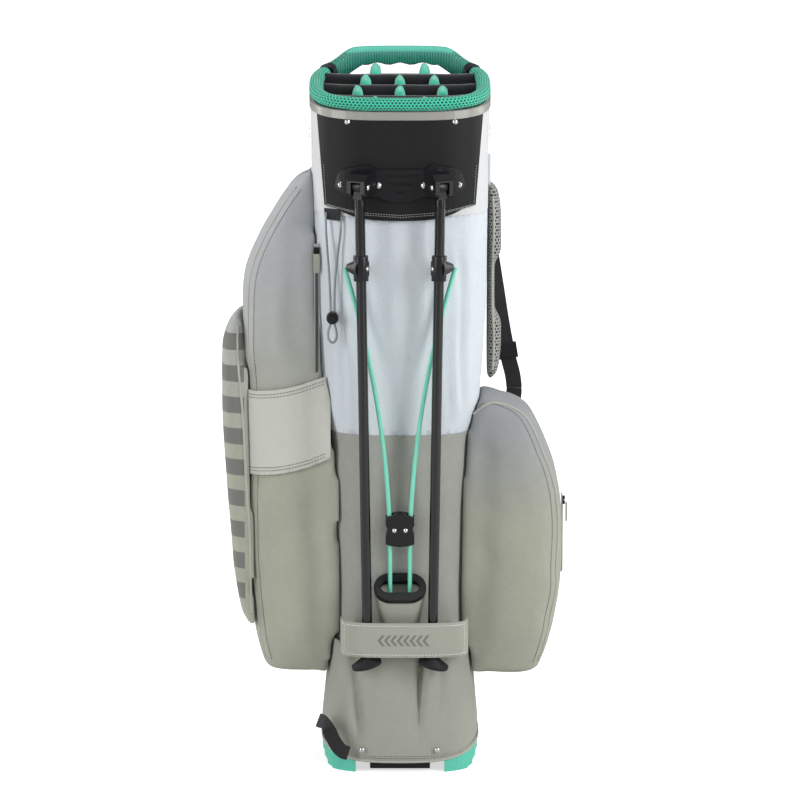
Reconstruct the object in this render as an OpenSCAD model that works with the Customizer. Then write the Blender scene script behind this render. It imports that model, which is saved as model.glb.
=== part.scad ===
// Golf stand bag: a fabric club tube between a moulded base and a divided top collar,
// with side pockets, a shoulder strap and two spring legs that a tie-rod yoke spreads.
// Millimetres, +Z up, legs on the -Y side. Lengths inside modules are from the tube's axis.

/* [Bag] */
// Height of the bag to the top of the lift handle
bag_h = 900; // [890:1:905]
// Wall of the sewn and lined fabric tube
sleeve_wall = 3; // [2.5:0.1:3.2]
// Squareness of the tube's section, where 2 is an ellipse
squareness = 3.2; // [3:0.1:3.4]

/* [Base] */
// Height of the base cup's wall
cup_h = 66; // [64:1:67]
// Wall of the base cup
cup_wall = 3.5; // [3:0.1:3.5]
// Height of the arches between the feet
arch_h = 36; // [32:1:38]

/* [Collar] */
// Lower edge of the top collar
collar_z = 712; // [710:1:714]
// Height of the rim cushion's centre at the front
rim_z = 852; // [848:1:856]
// Rise of the rim towards the back, per millimetre
rim_rise = 0.1; // [0.08:0.01:0.11]
// Thickness of the padded divider bars
bar_t = 14; // [12:0.5:15]
// Thickness of the padded fins between the bars
fin_t = 15; // [12:0.5:16]

/* [Stand] */
// Diameter of the leg tubes
leg_d = 12.7; // [12:0.1:12.7]
// Height of the leg pivots
pivot_z = 752; // [750:1:754]
// Distance of each leg pivot from the middle
pivot_x = 50; // [49:0.5:51]
// Outward turn of each leg's swing plane from straight ahead
splay = 30; // [28:1:32]
// Diameter of the tie rods
rod_d = 5.5; // [5:0.1:5.6]
// Distance of each lower tie rod from the middle
rod_x = 12.5; // [12:0.1:13]

/* [Pockets] */
// Reach of the left pocket from the tube's axis
left_reach = 194; // [190:1:198]
// Reach of the left outer pocket from the tube's axis
outer_reach = 221; // [218:1:224]
// Reach of the right pocket from the tube's axis
right_reach = 204; // [200:1:208]

/* [Strap] */
// Width of the shoulder strap's webbing
webbing_w = 20; // [18:1:22]
// Reach of the strap's pads from the tube's axis
pad_reach = 127.5; // [126:0.5:129]

/* [Hidden] */
$fn = 48;

gap = 0.5;                  // between pieces that lie side by side
ring_n = 56;                // points round a full section of the tube
left_side = -1;
right_side = 1;

// The tube's axis stands a little off the middle of the bag, because the left side reaches further.
axis_x = (outer_reach - (right_reach + 8)) / 2;
axis_y = 14.5;

// Half width, half depth to the front and half depth to the back of the tube at each height
sleeve_a = [[62, 88], [160, 84], [230, 82], [330, 84], [418, 88], [433, 91], [468, 100.5],
    [500, 103], [590, 109], [712, 110]];
sleeve_f = [[62, 73], [160, 78], [230, 82], [330, 84], [433, 88], [500, 95], [590, 101],
    [712, 104]];
sleeve_b = [[62, 84], [160, 83], [230, 82], [330, 84], [433, 88], [500, 94], [590, 98],
    [712, 101]];
// The same for the boot round the base, and for the collar
boot_a = [[20, 99], [60, 98.5], [110, 93.5], [165, 87]];
boot_f = [[20, 95], [60, 98], [110, 100], [165, 100]];
boot_b = [[20, 92], [60, 92], [110, 90], [165, 87]];
collar_a = [[712, 110.5], [870, 112]];
collar_f = [[712, 106.5], [870, 108.5]];
collar_b = [[712, 101], [870, 106]];
boot_wall = 2.2;
boot_top = 165;
seam_z = 433;               // where the lower front panel meets the upper one
wrap_t = 2;                 // fabric over the collar shell
shell_t = 3;                // plastic collar shell

// Rim path: half width and half depths of the cushion's middle line
rim_a = 105;
rim_f = 106.5;
rim_b = 104;
cushion_r = 11;             // radial half width of the cushion
cushion_h = 10;             // half height of the cushion
joint_y = 80;               // where the cushion ends and the handle begins
cap_len = 7;                // length of the black end caps, front to back

// Leg geometry
pivot_y = -126;
foot_x = 40.4;
foot_y = -112;
foot_z = 150;
leg_run = [pivot_x - foot_x, foot_y - pivot_y, pivot_z - foot_z];
leg_len = norm(leg_run);
tube_top = -25;             // from the pivot along the leg
collar_at = -102;           // middle of the leg collar along the leg
hinge_pin_r = 2.5;
running = 0.06;             // radial clearance of a running fit
ear_gap = 13.6;
ear_t = 6;

// Tie-rod yoke: the lower rods run in a line that leans forward on its way up
rod_lean = 5.36;
rod_foot = [-82, 50];       // y and z of a point on that line
clamp_low = 296;
clamp_high = 338;
rod_end_z = 21.2;
function rod_y(z) = rod_foot[0] - (z - rod_foot[1]) * tan(rod_lean);

// Rod port
port_z = 240;
port_tilt = 40;
port_r = 22;
port_half = 11;             // half distance between the port's end arcs

// Actuator under the base floor
act_pin = [60, 40];         // y and z of its hinge
act_front = -83;
act_low = 14;
act_t = 6;

// ---------- helpers ----------

function se(c) = sign(c) * pow(abs(c), 2 / squareness);

// One point of a rounded section at angle t
function section_point(t, a, f, b) = [a * se(cos(t)), (sin(t) < 0 ? f : b) * se(sin(t))];

// Part of a section from angle t0 to t1
function section_arc(a, f, b, z, t0, t1, n) =
    [for (i = [0:n]) let (p = section_point(t0 + (t1 - t0) * i / n, a, f, b)) [p[0], p[1], z]];

// A whole section
function section_ring(a, f, b, z, rise = 0) =
    [for (i = [0:ring_n - 1]) let (p = section_point(360 * i / ring_n, a, f, b))
        [p[0], p[1], z + rise * p[1]]];

// Half width of a section at distance y from its middle
function section_x(y, a, f, b) =
    a * pow(max(0, 1 - pow(abs(y) / (y < 0 ? f : b), squareness)), 1 / squareness);

function reversed(list) = [for (i = [len(list) - 1:-1:0]) list[i]];

// A solid through a stack of sections, all with the same number of points, anticlockwise from above
module skin(rings, looped = false) {
    n = len(rings[0]);
    m = len(rings);
    sides = [for (j = [0:looped ? m - 1 : m - 2], i = [0:n - 1])
        let (k = (j + 1) % m, l = (i + 1) % n)
        each [[j * n + i, k * n + i, k * n + l], [j * n + i, k * n + l, j * n + l]]];
    caps = looped ? [] : [[for (i = [0:n - 1]) i], [for (i = [n - 1:-1:0]) (m - 1) * n + i]];
    polyhedron([for (r = rings) each r], concat(sides, caps), convexity = 10);
}

// Part of a tube wall between two angles
module wall_part(heights, a, f, b, t, t0, t1, n = 28) {
    skin([for (z = heights)
        concat(section_arc(lookup(z, a), lookup(z, f), lookup(z, b), z, t0, t1, n),
            reversed(section_arc(lookup(z, a) - t, lookup(z, f) - t, lookup(z, b) - t, z,
                t0, t1, n)))]);
}

// A straight round bar between two points
module bar(p, q, r) {
    d = q - p;
    translate(p) rotate([0, acos(d[2] / norm(d)), atan2(d[1], d[0])]) cylinder(h = norm(d), r = r);
}

// Parts drawn for the left side, mirrored for the right
module on_side(side) {
    mirror([side == right_side ? 1 : 0, 0, 0]) children();
}

// Frame of the left leg's hinge: X along the pin, -Y the way the leg swings
module hinge_frame() {
    translate([-pivot_x, pivot_y, pivot_z]) rotate([0, 0, -splay]) children();
}

// Frame of the left leg: Z up along the leg from the pivot
module leg_frame() {
    rx = asin(leg_run[1] / leg_len);
    ry = -asin(leg_run[0] / leg_len / cos(rx));
    translate([-pivot_x, pivot_y, pivot_z]) rotate([rx, ry, 0]) rotate([0, 0, -splay]) children();
}

// Frame of the sliding yoke: Z up along the lower rods, origin at their lower ends
module yoke_frame() {
    translate([0, rod_y(rod_end_z), rod_end_z]) rotate([rod_lean, 0, 0]) children();
}
function along_yoke(z) = (z - rod_end_z) / cos(rod_lean);

// A domed rivet head with its stem, pointing along +Z
module dome(r, h, stem) {
    intersection() {
        translate([0, 0, -(r * r - h * h) / (2 * h)]) sphere(r = (r * r + h * h) / (2 * h));
        cylinder(h = h + 1, r = r);
    }
    translate([0, 0, -stem]) cylinder(h = stem + 0.01, r = r * 0.45);
}

// ---------- base ----------

cup_a = 95;
cup_f = 91;
cup_b = 88.5;
flange = 3.7;               // how far the foot ring stands out from the cup
side_arch_h = 18;
function hem_z(y) = 34 - 20 * pow(abs(y) / 95, 2);

module flat_section(a, f, b) {
    polygon([for (p = section_ring(a, f, b, 0)) [p[0], p[1]]]);
}

// Foot ring under the boot's hem, drawn in at the bottom
module foot_ring() {
    intersection() {
        linear_extrude(40) flat_section(cup_a + flange, cup_f + flange, cup_b + flange);
        rotate([90, 0, 90]) linear_extrude(220, center = true)
            polygon(concat([[-110, -1]], [[110, -1]], [for (y = [100:-10:-100]) [y, hem_z(y) - 0.6]]));
        rotate([90, 0, 0]) linear_extrude(220, center = true)
            polygon([[-85, 0], [85, 0], [99, 16], [99, 40], [-99, 40], [-99, 16]]);
    }
}

module base_cup() color("mediumaquamarine") {
    difference() {
        union() {
            linear_extrude(cup_h) flat_section(cup_a, cup_f, cup_b);
            foot_ring();
        }
        for (z = [[cup_h - 4, 10], [-1, cup_h - 7 + 1]])
            translate([0, 0, z[0]]) linear_extrude(z[1])
                flat_section(cup_a - cup_wall, cup_f - cup_wall, cup_b - cup_wall);
        // arches between the feet, front, back and at both sides
        for (s = [-1, 1]) {
            translate([-56, s * 90 - 25, -1]) cube([112, 50, arch_h + 1]);
            translate([s * 90 - 25, -44, -1]) cube([50, 88, side_arch_h + 1]);
        }
        // holes where the tie rods pass the floor
        for (x = [-rod_x, rod_x]) translate([x, rod_y(cup_h - 6), cup_h - 12]) cylinder(h = 14, r = 4.2);
        // bore for the actuator's pin
        for (x = [-58, 58]) translate([x, act_pin[0], act_pin[1]]) rotate([0, 90, 0])
            cylinder(h = 12, r = 3, center = true);
    }
    // ears that hold the actuator's pin
    for (x = [-58, 58]) difference() {
        translate([x - 4, act_pin[0] - 8, act_pin[1] - 8]) cube([8, 16, cup_h - 7 - act_pin[1] + 8]);
        translate([x, act_pin[0], act_pin[1]]) rotate([0, 90, 0]) cylinder(h = 12, r = 3, center = true);
    }
}

module actuator_pin() color("silver") {
    translate([0, act_pin[0], act_pin[1]]) rotate([0, 90, 0]) cylinder(h = 124, r = 3, center = true);
}

// Lever under the floor: its lip sits just off the ground and lifts the tie rods
module actuator_foot() color("dimgray") {
    difference() {
        union() {
            translate([0, 0, act_low]) linear_extrude(act_t)
                polygon([[-50, 14], [-50, -70], [-38, act_front], [38, act_front], [50, -70], [50, 14]]);
            translate([-38, act_front, 3]) cube([76, 9, act_low - 2]);
            for (x = [-46, 40]) hull() {
                translate([x, act_pin[0], act_pin[1]]) rotate([0, 90, 0]) cylinder(h = 6, r = 7);
                translate([x, -6, act_low]) cube([6, 20, act_t]);
            }
        }
        translate([0, act_pin[0], act_pin[1]]) rotate([0, 90, 0])
            cylinder(h = 130, r = 3 + running, center = true);
    }
}

// ---------- fabric tube ----------

// The hem is lowest at the front and back
function hem_ring(grow) = [for (p = section_ring(boot_a[0][1] + grow, boot_f[0][1] + grow,
    boot_b[0][1] + grow, 0)) [p[0], p[1], hem_z(p[1])]];

module boot() color("darkseagreen") {
    heights = [60, 110, boot_top];
    rings = [for (grow = [0, -boot_wall]) [for (z = heights)
        section_ring(lookup(z, boot_a) + grow, lookup(z, boot_f) + grow, lookup(z, boot_b) + grow, z)]];
    skin(concat([hem_ring(0)], rings[0], reversed(rings[1]), [hem_ring(-boot_wall)]), looped = true);
}

module lower_front_panel() color("darkgray") {
    wall_part([62.2, 160, 230, 330, 418, seam_z], sleeve_a, sleeve_f, sleeve_b, sleeve_wall, 180, 360);
}

module upper_front_panel() color("lightsteelblue") {
    wall_part([seam_z, 468, 500, 590, collar_z], sleeve_a, sleeve_f, sleeve_b, sleeve_wall, 180, 360);
}

module back_panel() color("lightgray") {
    wall_part([62.2, 160, 230, 330, 418, seam_z, 468, 500, 590, collar_z], sleeve_a, sleeve_f,
        sleeve_b, sleeve_wall, 0, 180);
}

module stay_rods() color("ivory") {
    for (x = [-1, 1], y = [-1, 1])
        bar([x * 52, y * 47, 62.5], [x * 80, y * 74, collar_z - 0.5], 3);
}

// ---------- collar ----------

collar_top = rim_z - cushion_h + 1;
function collar_edge(y) = collar_top + rim_rise * (y + rim_f);
edge_at_0 = collar_edge(0);

module collar_band(low, grow, t) {
    top = edge_at_0;
    fa = collar_a[1][1] + grow;
    ff = collar_f[1][1] + grow;
    fb = collar_b[1][1] + grow;
    la = lookup(low, collar_a) + grow;
    lf = lookup(low, collar_f) + grow;
    lb = lookup(low, collar_b) + grow;
    skin([section_ring(la, lf, lb, low), section_ring(fa, ff, fb, top, rim_rise),
        section_ring(fa - t, ff - t, fb - t, top, rim_rise), section_ring(la - t, lf - t, lb - t, low)],
        looped = true);
}

module collar_shell() color("dimgray") collar_band(collar_z, -wrap_t - 0.4, shell_t);

module collar_wrap() color("lightsteelblue") collar_band(collar_z, 0, wrap_t);

// Vinyl band round the top of the wrap
module rim_trim() color("silver") {
    drop = 10;
    a = collar_a[1][1];
    f = collar_f[1][1];
    b = collar_b[1][1];
    t = 1.5;
    skin([section_ring(a + t + 0.1, f + t + 0.1, b + t + 0.1, edge_at_0 - drop, rim_rise),
        section_ring(a + t + 0.1, f + t + 0.1, b + t + 0.1, edge_at_0, rim_rise),
        section_ring(a + 0.1, f + 0.1, b + 0.1, edge_at_0, rim_rise),
        section_ring(a + 0.1, f + 0.1, b + 0.1, edge_at_0 - drop, rim_rise)], looped = true);
}

// Grained patch on the front of the collar, with a rounded lower edge
patch_t = 1.2;
module front_patch() color("dimgray") {
    a = collar_a[1][1] + 0.1;
    f = collar_f[1][1] + 0.1;
    intersection() {
        linear_extrude(900) polygon(concat(
            [for (p = section_arc(a + patch_t, f + patch_t, f + patch_t, 0, 200, 340, 32)) [p[0], p[1]]],
            [for (p = reversed(section_arc(a, f, f, 0, 200, 340, 32))) [p[0], p[1]]]));
        rotate([90, 0, 0]) linear_extrude(200) polygon(concat(
            [[-94, 724]],
            [for (i = [0:16]) let (x = -78 + 156 * i / 16) [x, 711 - 4 * (1 - pow(x / 78, 2))
                + 10 * pow(x / 78, 4)]],
            [[94, 724]],
            [for (p = reversed(section_arc(a, f, f, 0, 200, 340, 32))) if (abs(p[0]) < 104)
                [p[0], edge_at_0 - 10.6 + rim_rise * p[1]]]));
    }
}

// Cross-section of the padded rim at one place of its path
function rim_section(t, r, h, n = 14) =
    let (p = section_point(t, rim_a, rim_f, rim_b), q = section_point(t + 0.5, rim_a, rim_f, rim_b),
        d = (q - p) / norm(q - p), z = rim_z + rim_rise * (p[1] + rim_f))
    [for (i = [0:n - 1]) let (u = 360 * i / n)
        [p[0] + d[1] * r * cos(u), p[1] - d[0] * r * cos(u), z + h * sin(u)]];

// Angle on the rim path at distance y behind the axis
function rim_angle(y) = asin(pow(y / rim_b, squareness / 2));
joint_angle = rim_angle(joint_y);
cap_angle = rim_angle(joint_y - cap_len);

module rim_cushion() color("mediumaquamarine") {
    span = 180 + 2 * cap_angle - 0.8;
    skin([for (i = [0:48]) rim_section(180 - cap_angle + 0.4 + span * i / 48, cushion_r, cushion_h)]);
}

module rim_end_caps() color("dimgray") {
    for (s = [0, 1]) {
        t0 = s == 0 ? cap_angle : 180 - joint_angle;
        skin([for (i = [0:4]) rim_section(t0 + (joint_angle - cap_angle) * i / 4,
            cushion_r + 0.8, cushion_h + 0.8)]);
    }
}

// Lift handle: a bow round the back of the rim that rises from its end caps to a finger-waved grip
grip_half = 70;
grip_rise = 15;              // steps over which each end rises
module lift_handle() color("mediumaquamarine") {
    n = 52;
    t0 = joint_angle + 0.4;
    step = (180 - 2 * t0) / n;
    skin([for (i = [0:n])
        let (t = t0 + i * step, p = section_point(t, rim_a, rim_f, rim_b),
            q = section_point(t + 0.5, rim_a, rim_f, rim_b), d = (q - p) / norm(q - p),
            e = min(1, min(i, n - i) / grip_rise),
            end = rim_z + rim_rise * (p[1] + rim_f) + cushion_h + 1,
            top = end + (bag_h - 0.2 * (rim_b - p[1]) - end) * e * e * (3 - 2 * e),
            w = abs(p[0]) / grip_half,
            low = w > 1 ? collar_edge(p[1]) + 0.4
                : min(877.5 + 1.6 * cos(p[0] * 360 / 29), collar_edge(p[1]) + 0.4 + 40 * (1 - w)),
            r = 8)
        [for (c = [[-1, 0.1], [-0.65, 0], [0.65, 0], [1, 0.1], [1, 0.74], [0.78, 0.93], [0.35, 1],
                [-0.35, 1], [-0.78, 0.93], [-1, 0.74]])
            [p[0] + d[1] * r * c[0], p[1] - d[0] * r * c[0], low + (top - low) * c[1]]]]);
}

// ---------- dividers ----------

bar_y = [-47, 0, 46];
function bar_top(y) = 866 + 0.16 * y;
bar_h = 62;
inner_a = collar_a[0][1] - wrap_t - shell_t;
inner_f = collar_f[0][1] - wrap_t - shell_t;
inner_b = collar_b[0][1] - wrap_t - shell_t;

// A padded bar with a rounded top, standing on z = 0, along X
module padded_bar(length, t, h) {
    rotate([90, 0, 90]) translate([0, 0, -length / 2]) linear_extrude(length) {
        translate([-t / 2, 0]) square([t, h - t / 2]);
        translate([0, h - t / 2]) circle(d = t);
    }
}

module divider_bars() color("dimgray") {
    for (y = bar_y)
        translate([0, y, bar_top(y) - bar_h])
            padded_bar(2 * section_x(abs(y) + bar_t / 2, inner_a, inner_f, inner_b) - 1, bar_t, bar_h);
}

// [x, y from, y to] of each fin
back_end = inner_b - 3;
front_end = -inner_f + 3;
fins = concat(
    [for (x = [-31, 31]) [x, front_end, bar_y[0] - bar_t / 2 - gap]],
    [for (x = [-53, 0, 53]) [x, bar_y[0] + bar_t / 2 + gap, bar_y[1] - bar_t / 2 - gap]],
    [for (x = [-43, 0, 43]) [x, bar_y[1] + bar_t / 2 + gap, bar_y[2] - bar_t / 2 - gap]],
    [for (x = [-31, 31]) [x, bar_y[2] + bar_t / 2 + gap, back_end]]);

// Each fin's rounded top climbs from the bar in front of it to the bar behind
fin_over = 1.5;
module divider_fins() color("mediumaquamarine") {
    r = fin_t / 2;
    for (f = fins) let (low = bar_top((f[1] + f[2]) / 2) - bar_h)
        skin([for (y = [f[1], f[2]]) let (z = bar_top(y) + fin_over - r)
            concat([for (u = [180:-20:0]) [f[0] + r * cos(u), y, z + r * sin(u)]],
                [[f[0] + r, y, low], [f[0] - r, y, low]])]);
}

// ---------- stand ----------

plate_gap = patch_t + 0.4;
plate_t = 5;

module stand_plate() color("dimgray") {
    a = collar_a[1][1] + plate_gap;
    f = collar_f[1][1] + plate_gap;
    difference() {
        union() {
            intersection() {
                linear_extrude(900) polygon(concat(
                    [for (p = section_arc(a + plate_t, f + plate_t, f + plate_t, 0, 205, 335, 32))
                        [p[0], p[1]]],
                    [for (p = reversed(section_arc(a, f, f, 0, 205, 335, 32))) [p[0], p[1]]]));
                rotate([90, 0, 0]) linear_extrude(200)
                    polygon([[-81, 749], [-66, 738], [-28, 738], [-10, 731.5], [10, 731.5], [28, 738],
                        [66, 738], [81, 749], [77.5, 765], [72, 771], [41, 778], [31, 771.5],
                        [-31, 771.5], [-41, 778], [-72, 771], [-77.5, 765]]);
            }
            for (side = [left_side, right_side]) on_side(side) knuckle();
        }
        for (side = [left_side, right_side]) on_side(side) hinge_frame() {
            translate([-ear_gap / 2, -30, -40]) cube([ear_gap, 38, 40]);
            rotate([0, 90, 0]) cylinder(h = ear_gap, r = 9.6, center = true);
            rotate([0, 90, 0]) cylinder(h = 40, r = hinge_pin_r, center = true);
            translate([-ear_gap / 2, -30, -1]) cube([ear_gap, 24, 7]);
        }
        // raised ribs stay between these grooves
        for (g = [[762, 4, 23, 19], [752, 3.5, 15, 12], [742, 3.5, 6, 4]])
            translate([0, -f - 2.5, 0]) rotate([90, 0, 0]) linear_extrude(10)
                polygon([[-g[3], g[0]], [g[3], g[0]], [g[2], g[0] + g[1]], [-g[2], g[0] + g[1]]]);
    }
}

// Housing round one leg pivot, with two ears and a closed top
module knuckle() {
    width = ear_gap + 2 * ear_t;
    hinge_frame() intersection() {
        translate([-width / 2, -10, -11]) cube([width, 27, 29]);
        rotate([0, 90, 0]) linear_extrude(width + 1, center = true)
            polygon([[11, -7], [8, -10], [-8, -10], [-16, -3], [-18, 4], [-18, 17], [11, 17]]);
    }
}

module leg_hinge_pins() color("silver") {
    for (side = [left_side, right_side]) on_side(side) hinge_frame() {
        pin_half = ear_gap / 2 + ear_t;
        rotate([0, 90, 0]) cylinder(h = 2 * pin_half, r = hinge_pin_r, center = true);
        translate([pin_half, 0, 0]) rotate([0, 90, 0]) dome(3.8, 1.8, 1);
        translate([-pin_half, 0, 0]) rotate([0, -90, 0]) dome(3.8, 1.8, 1);
    }
}

module leg_plug() color("dimgray") {
    hinge_frame() difference() {
        union() {
            rotate([0, 90, 0]) cylinder(h = ear_gap - 0.8, r = 8, center = true);
            translate([-6.3, -5.5, -15]) cube([12.6, 11, 15]);
        }
        rotate([0, 90, 0]) cylinder(h = 30, r = hinge_pin_r + running, center = true);
    }
    leg_frame() translate([0, 0, tube_top]) cylinder(h = 12, r1 = leg_d / 2 + 0.6, r2 = 6);
}

module leg_tube() color("black") {
    leg_frame() difference() {
        translate([0, 0, -leg_len]) cylinder(h = leg_len + tube_top, r = leg_d / 2);
        translate([0, 0, -leg_len - 1]) cylinder(h = leg_len + tube_top + 2, r = leg_d / 2 - 1.2);
    }
}

// Clip on the leg with a cone that points outward to the tie rod's end
module leg_collar() color("dimgray") {
    cone_tip = 19;
    leg_frame() translate([0, 0, collar_at]) difference() {
        union() {
            translate([0, 0, -15.5]) cylinder(h = 31, r = 9.3);
            rotate([0, -90, 0]) cylinder(h = cone_tip, r1 = 13, r2 = 4.5);
            translate([0, -4, -9]) cube([9.6, 8, 18]);
        }
        translate([0, 0, -30]) cylinder(h = 60, r = leg_d / 2);
        rotate([0, 90, 0]) cylinder(h = 40, r = 1.6);
    }
}

module collar_screw() color("silver") {
    leg_frame() translate([0, 0, collar_at]) translate([9.6, 0, 0]) rotate([0, 90, 0]) {
        dome(2.9, 1.4, 0.01);
        translate([0, 0, -3]) cylinder(h = 3, r = 1.6);
    }
}

// Rubber toe whose sole lies flat on the ground when the leg is open
module leg_foot() color("black") {
    sole_turn = [14, -14.5, 0];
    difference() {
        hull() {
            translate([-42, foot_y - 1.5, foot_z - 4.5]) rotate(sole_turn) translate([0, 0, -2.5])
                scale([1.6, 1.05, 1]) cylinder(h = 4, r = 12, $fn = 32);
            translate([-foot_x, foot_y, foot_z - 1]) cylinder(h = 4.5, r = 8, $fn = 32);
        }
        leg_frame() translate([0, 0, -leg_len]) cylinder(h = 20, r = leg_d / 2);
    }
}

// ---------- tie rods ----------

module lower_tie_rods() color("mediumaquamarine") {
    yoke_frame() for (x = [-rod_x, rod_x])
        translate([x, 0, 0]) cylinder(h = along_yoke(clamp_low), r = rod_d / 2);
}

clamp_h = along_yoke(clamp_high) - along_yoke(clamp_low);
socket_r = 4.6;
module rod_clamp() color("black") {
    half = 18;
    yoke_frame() translate([0, 0, along_yoke(clamp_low)]) difference() {
        rotate([90, 0, 0]) linear_extrude(15, center = true) polygon(concat(
            [for (i = [0:8]) let (x = -half + 2 * half * i / 8) [x, 3.5 * (pow(x / half, 2))]],
            [[half, 14], [half - 2, 18], [half - 2, 24], [half, 28]],
            [for (i = [8:-1:0]) let (x = -half + 2 * half * i / 8)
                [x, clamp_h - 4.5 * pow(x / half, 2)]],
            [[-half, 28], [-half + 2, 24], [-half + 2, 18], [-half, 14]]));
        for (x = [-rod_x, rod_x]) {
            translate([x, 0, clamp_h - 9]) cylinder(h = 20, r = socket_r);
            translate([x, 0, -5]) cylinder(h = 9, r = rod_d / 2 + 0.3);
        }
    }
}

module clamp_rivets() color("silver") {
    yoke_frame() translate([0, -7.5, along_yoke(clamp_low) + clamp_h / 2])
        for (x = [-7, 7]) translate([x, 0, 0]) rotate([90, 0, 0]) dome(3, 1.6, 0.01);
}

// Upper rod: a long bow from the clamp's socket out to the leg collar, then a short ball end
function leg_point(x, z) =
    let (rx = asin(leg_run[1] / leg_len), ry = -asin(leg_run[0] / leg_len / cos(rx)),
        p = [x * cos(splay), -x * sin(splay), z],
        q = [p[0], p[1] * cos(rx) - p[2] * sin(rx), p[1] * sin(rx) + p[2] * cos(rx)])
    [-pivot_x + q[0] * cos(ry) + q[2] * sin(ry), pivot_y + q[1], pivot_z - q[0] * sin(ry) + q[2] * cos(ry)];
rod_top = leg_point(-23.5, collar_at - 1);
rod_low = [-rod_x - 0.7, rod_y(clamp_high - 7), clamp_high - 7];
bow = 10;                   // how far the rod bows in from the straight line

function rod_path(t) = rod_low + t * (rod_top - rod_low) + [4 * bow * t * (1 - t), 4 * t * (1 - t), 0];
module tie_rod() color("mediumaquamarine") {
    n = 20;
    skin([for (i = [0:n])
        let (p = rod_path(i / n), q = rod_path(i / n + 0.01), d = (q - p) / norm(q - p),
            u = [d[2], 0, -d[0]] / norm([d[2], 0, -d[0]]), v = cross(d, u))
        [for (k = [0:11]) p + rod_d / 2 * (u * cos(30 * k) + v * sin(30 * k))]]);
}

// ---------- rod port ----------

module port_frame() {
    translate([0, rod_y(port_z) - 2, port_z]) rotate([port_tilt, 0, 0]) children();
}

module rod_port_bezel() color("black") {
    port_frame() difference() {
        translate([0, 0, -3]) linear_extrude(7) union() {
            for (x = [-port_half, port_half]) translate([x, 0]) circle(r = port_r);
            translate([-port_half, -port_r]) square([2 * port_half, 2 * port_r]);
        }
        translate([0, 0, -10]) linear_extrude(30) union() {
            for (x = [-15, 15]) translate([x, 0]) circle(r = 9);
            translate([-15, -9]) square([30, 18]);
        }
    }
}

// Ring of the cup's section: an oval of half width w between y0 and y1, at height z with a slope
function cup_ring(w, y0, y1, z, slope) =
    [for (i = [0:31]) let (t = 360 * i / 32, y = (y0 + y1) / 2 + (y1 - y0) / 2 * se(sin(t)))
        [w * se(cos(t)), y, z + slope * (y - (y0 + y1) / 2)]];

module rod_port_cup() color("darkseagreen") {
    yc = rod_y(port_z) - 2 + 3.4 * sin(port_tilt);
    zc = port_z - 3.4 * cos(port_tilt);
    dy = 16;
    slope = tan(port_tilt);
    skin([cup_ring(22, -98.5, -84.5, 167, 0), cup_ring(25, -105, -85.2, 195, 0.1),
        cup_ring(32, yc - dy, yc + dy, zc, slope), cup_ring(30, yc - dy + 2, yc + dy - 2, zc, slope),
        cup_ring(23, -103, -87.2, 195, 0.1), cup_ring(20, -96.5, -86.5, 167, 0)], looped = true);
}

// ---------- leg lock ----------

band_low = 156;
band_high = 200;
band_x = 5.5;
band_a = 79.5;
band_y = -76;
band_b = 47.5;
band_end = 1.5;             // degrees left open at each end
function band_arc(grow) = [for (i = [0:36]) let (t = 180 + band_end + (180 - 2 * band_end) * i / 36)
    [band_x + (band_a + grow) * sign(cos(t)) * sqrt(abs(cos(t))),
        band_y - (band_b + grow) * sqrt(abs(sin(t)))]];

module leg_lock_band() color("darkseagreen") {
    translate([0, 0, band_low]) linear_extrude(band_high - band_low)
        polygon(concat(band_arc(1.1), reversed(band_arc(-1.1))));
}

// ---------- pockets ----------

// What the pockets lie against: the boot low down, the tube, then the collar
hug_a = [[100, 95], [166, 88], [174, 84.5], [230, 82.5], [330, 84.5], [418, 88.5], [433, 91.5],
    [468, 101], [500, 103.5], [590, 109.5], [712, 111], [870, 113]];
hug_f = [[100, 101], [166, 101], [174, 80], [230, 82.5], [330, 84.5], [433, 88.5], [500, 95.5],
    [590, 101.5], [712, 105], [870, 109]];
hug_b = [[100, 91], [166, 88], [174, 84], [230, 82.5], [330, 84.5], [433, 88.5], [500, 94.5],
    [590, 98.5], [712, 102], [870, 107]];
function hug_x(y, z) = section_x(y, lookup(z, hug_a), lookup(z, hug_f), lookup(z, hug_b)) + gap;

// Outer line of a pocket: its reach at distance y, from a superellipse between y0 and y1
pocket_e = 3.4;
function pocket_root(z, y0, y1) = max(hug_x(y0, z), hug_x(y1, z)) + 2;
function pocket_outer(z, reach, y0, y1, n = 22) =
    [for (i = [0:n]) let (t = 90 + 180 * i / n, root = min(reach - 2, pocket_root(z, y0, y1)))
        [-root - (reach - root) * pow(abs(cos(t)), 2 / pocket_e),
            (y0 + y1) / 2 + (y1 - y0) / 2 * sign(sin(t)) * pow(abs(sin(t)), 2 / pocket_e), z]];
function pocket_inner(z, y0, y1, n = 10) =
    [for (i = [0:n]) let (y = y0 + (y1 - y0) * i / n) [-hug_x(y, z), y, z]];
function pocket_ring(z, reach, y0, y1) =
    concat(pocket_outer(z, reach, y0, y1), pocket_inner(z, y0, y1));

// [height, reach as a share of the full reach, front, back]
left_shape = [[118, 0.86, -52, 50], [124, 0.9, -56, 56], [152, 0.94, -60, 60], [166, 0.955, -60, 61],
    [174, 0.96, -61, 62], [213, 0.975, -62, 63], [262, 0.99, -63, 64], [367, 0.99, -64, 64],
    [476, 1, -65, 64], [589, 1, -66, 62], [621, 1, -66, 60], [643, 0.975, -66, 58],
    [682, 0.887, -64, 54], [723, 0.762, -60, 48], [752, 0.65, -54, 40], [764, 0.595, -46, 30]];

module left_pocket() color("darkseagreen") {
    skin([for (s = left_shape) pocket_ring(s[0], left_reach * s[1], s[2], s[3])]);
}

function shape_row(shape, z, k) = lookup(z, [for (s = shape) [s[0], s[k]]]);

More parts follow.
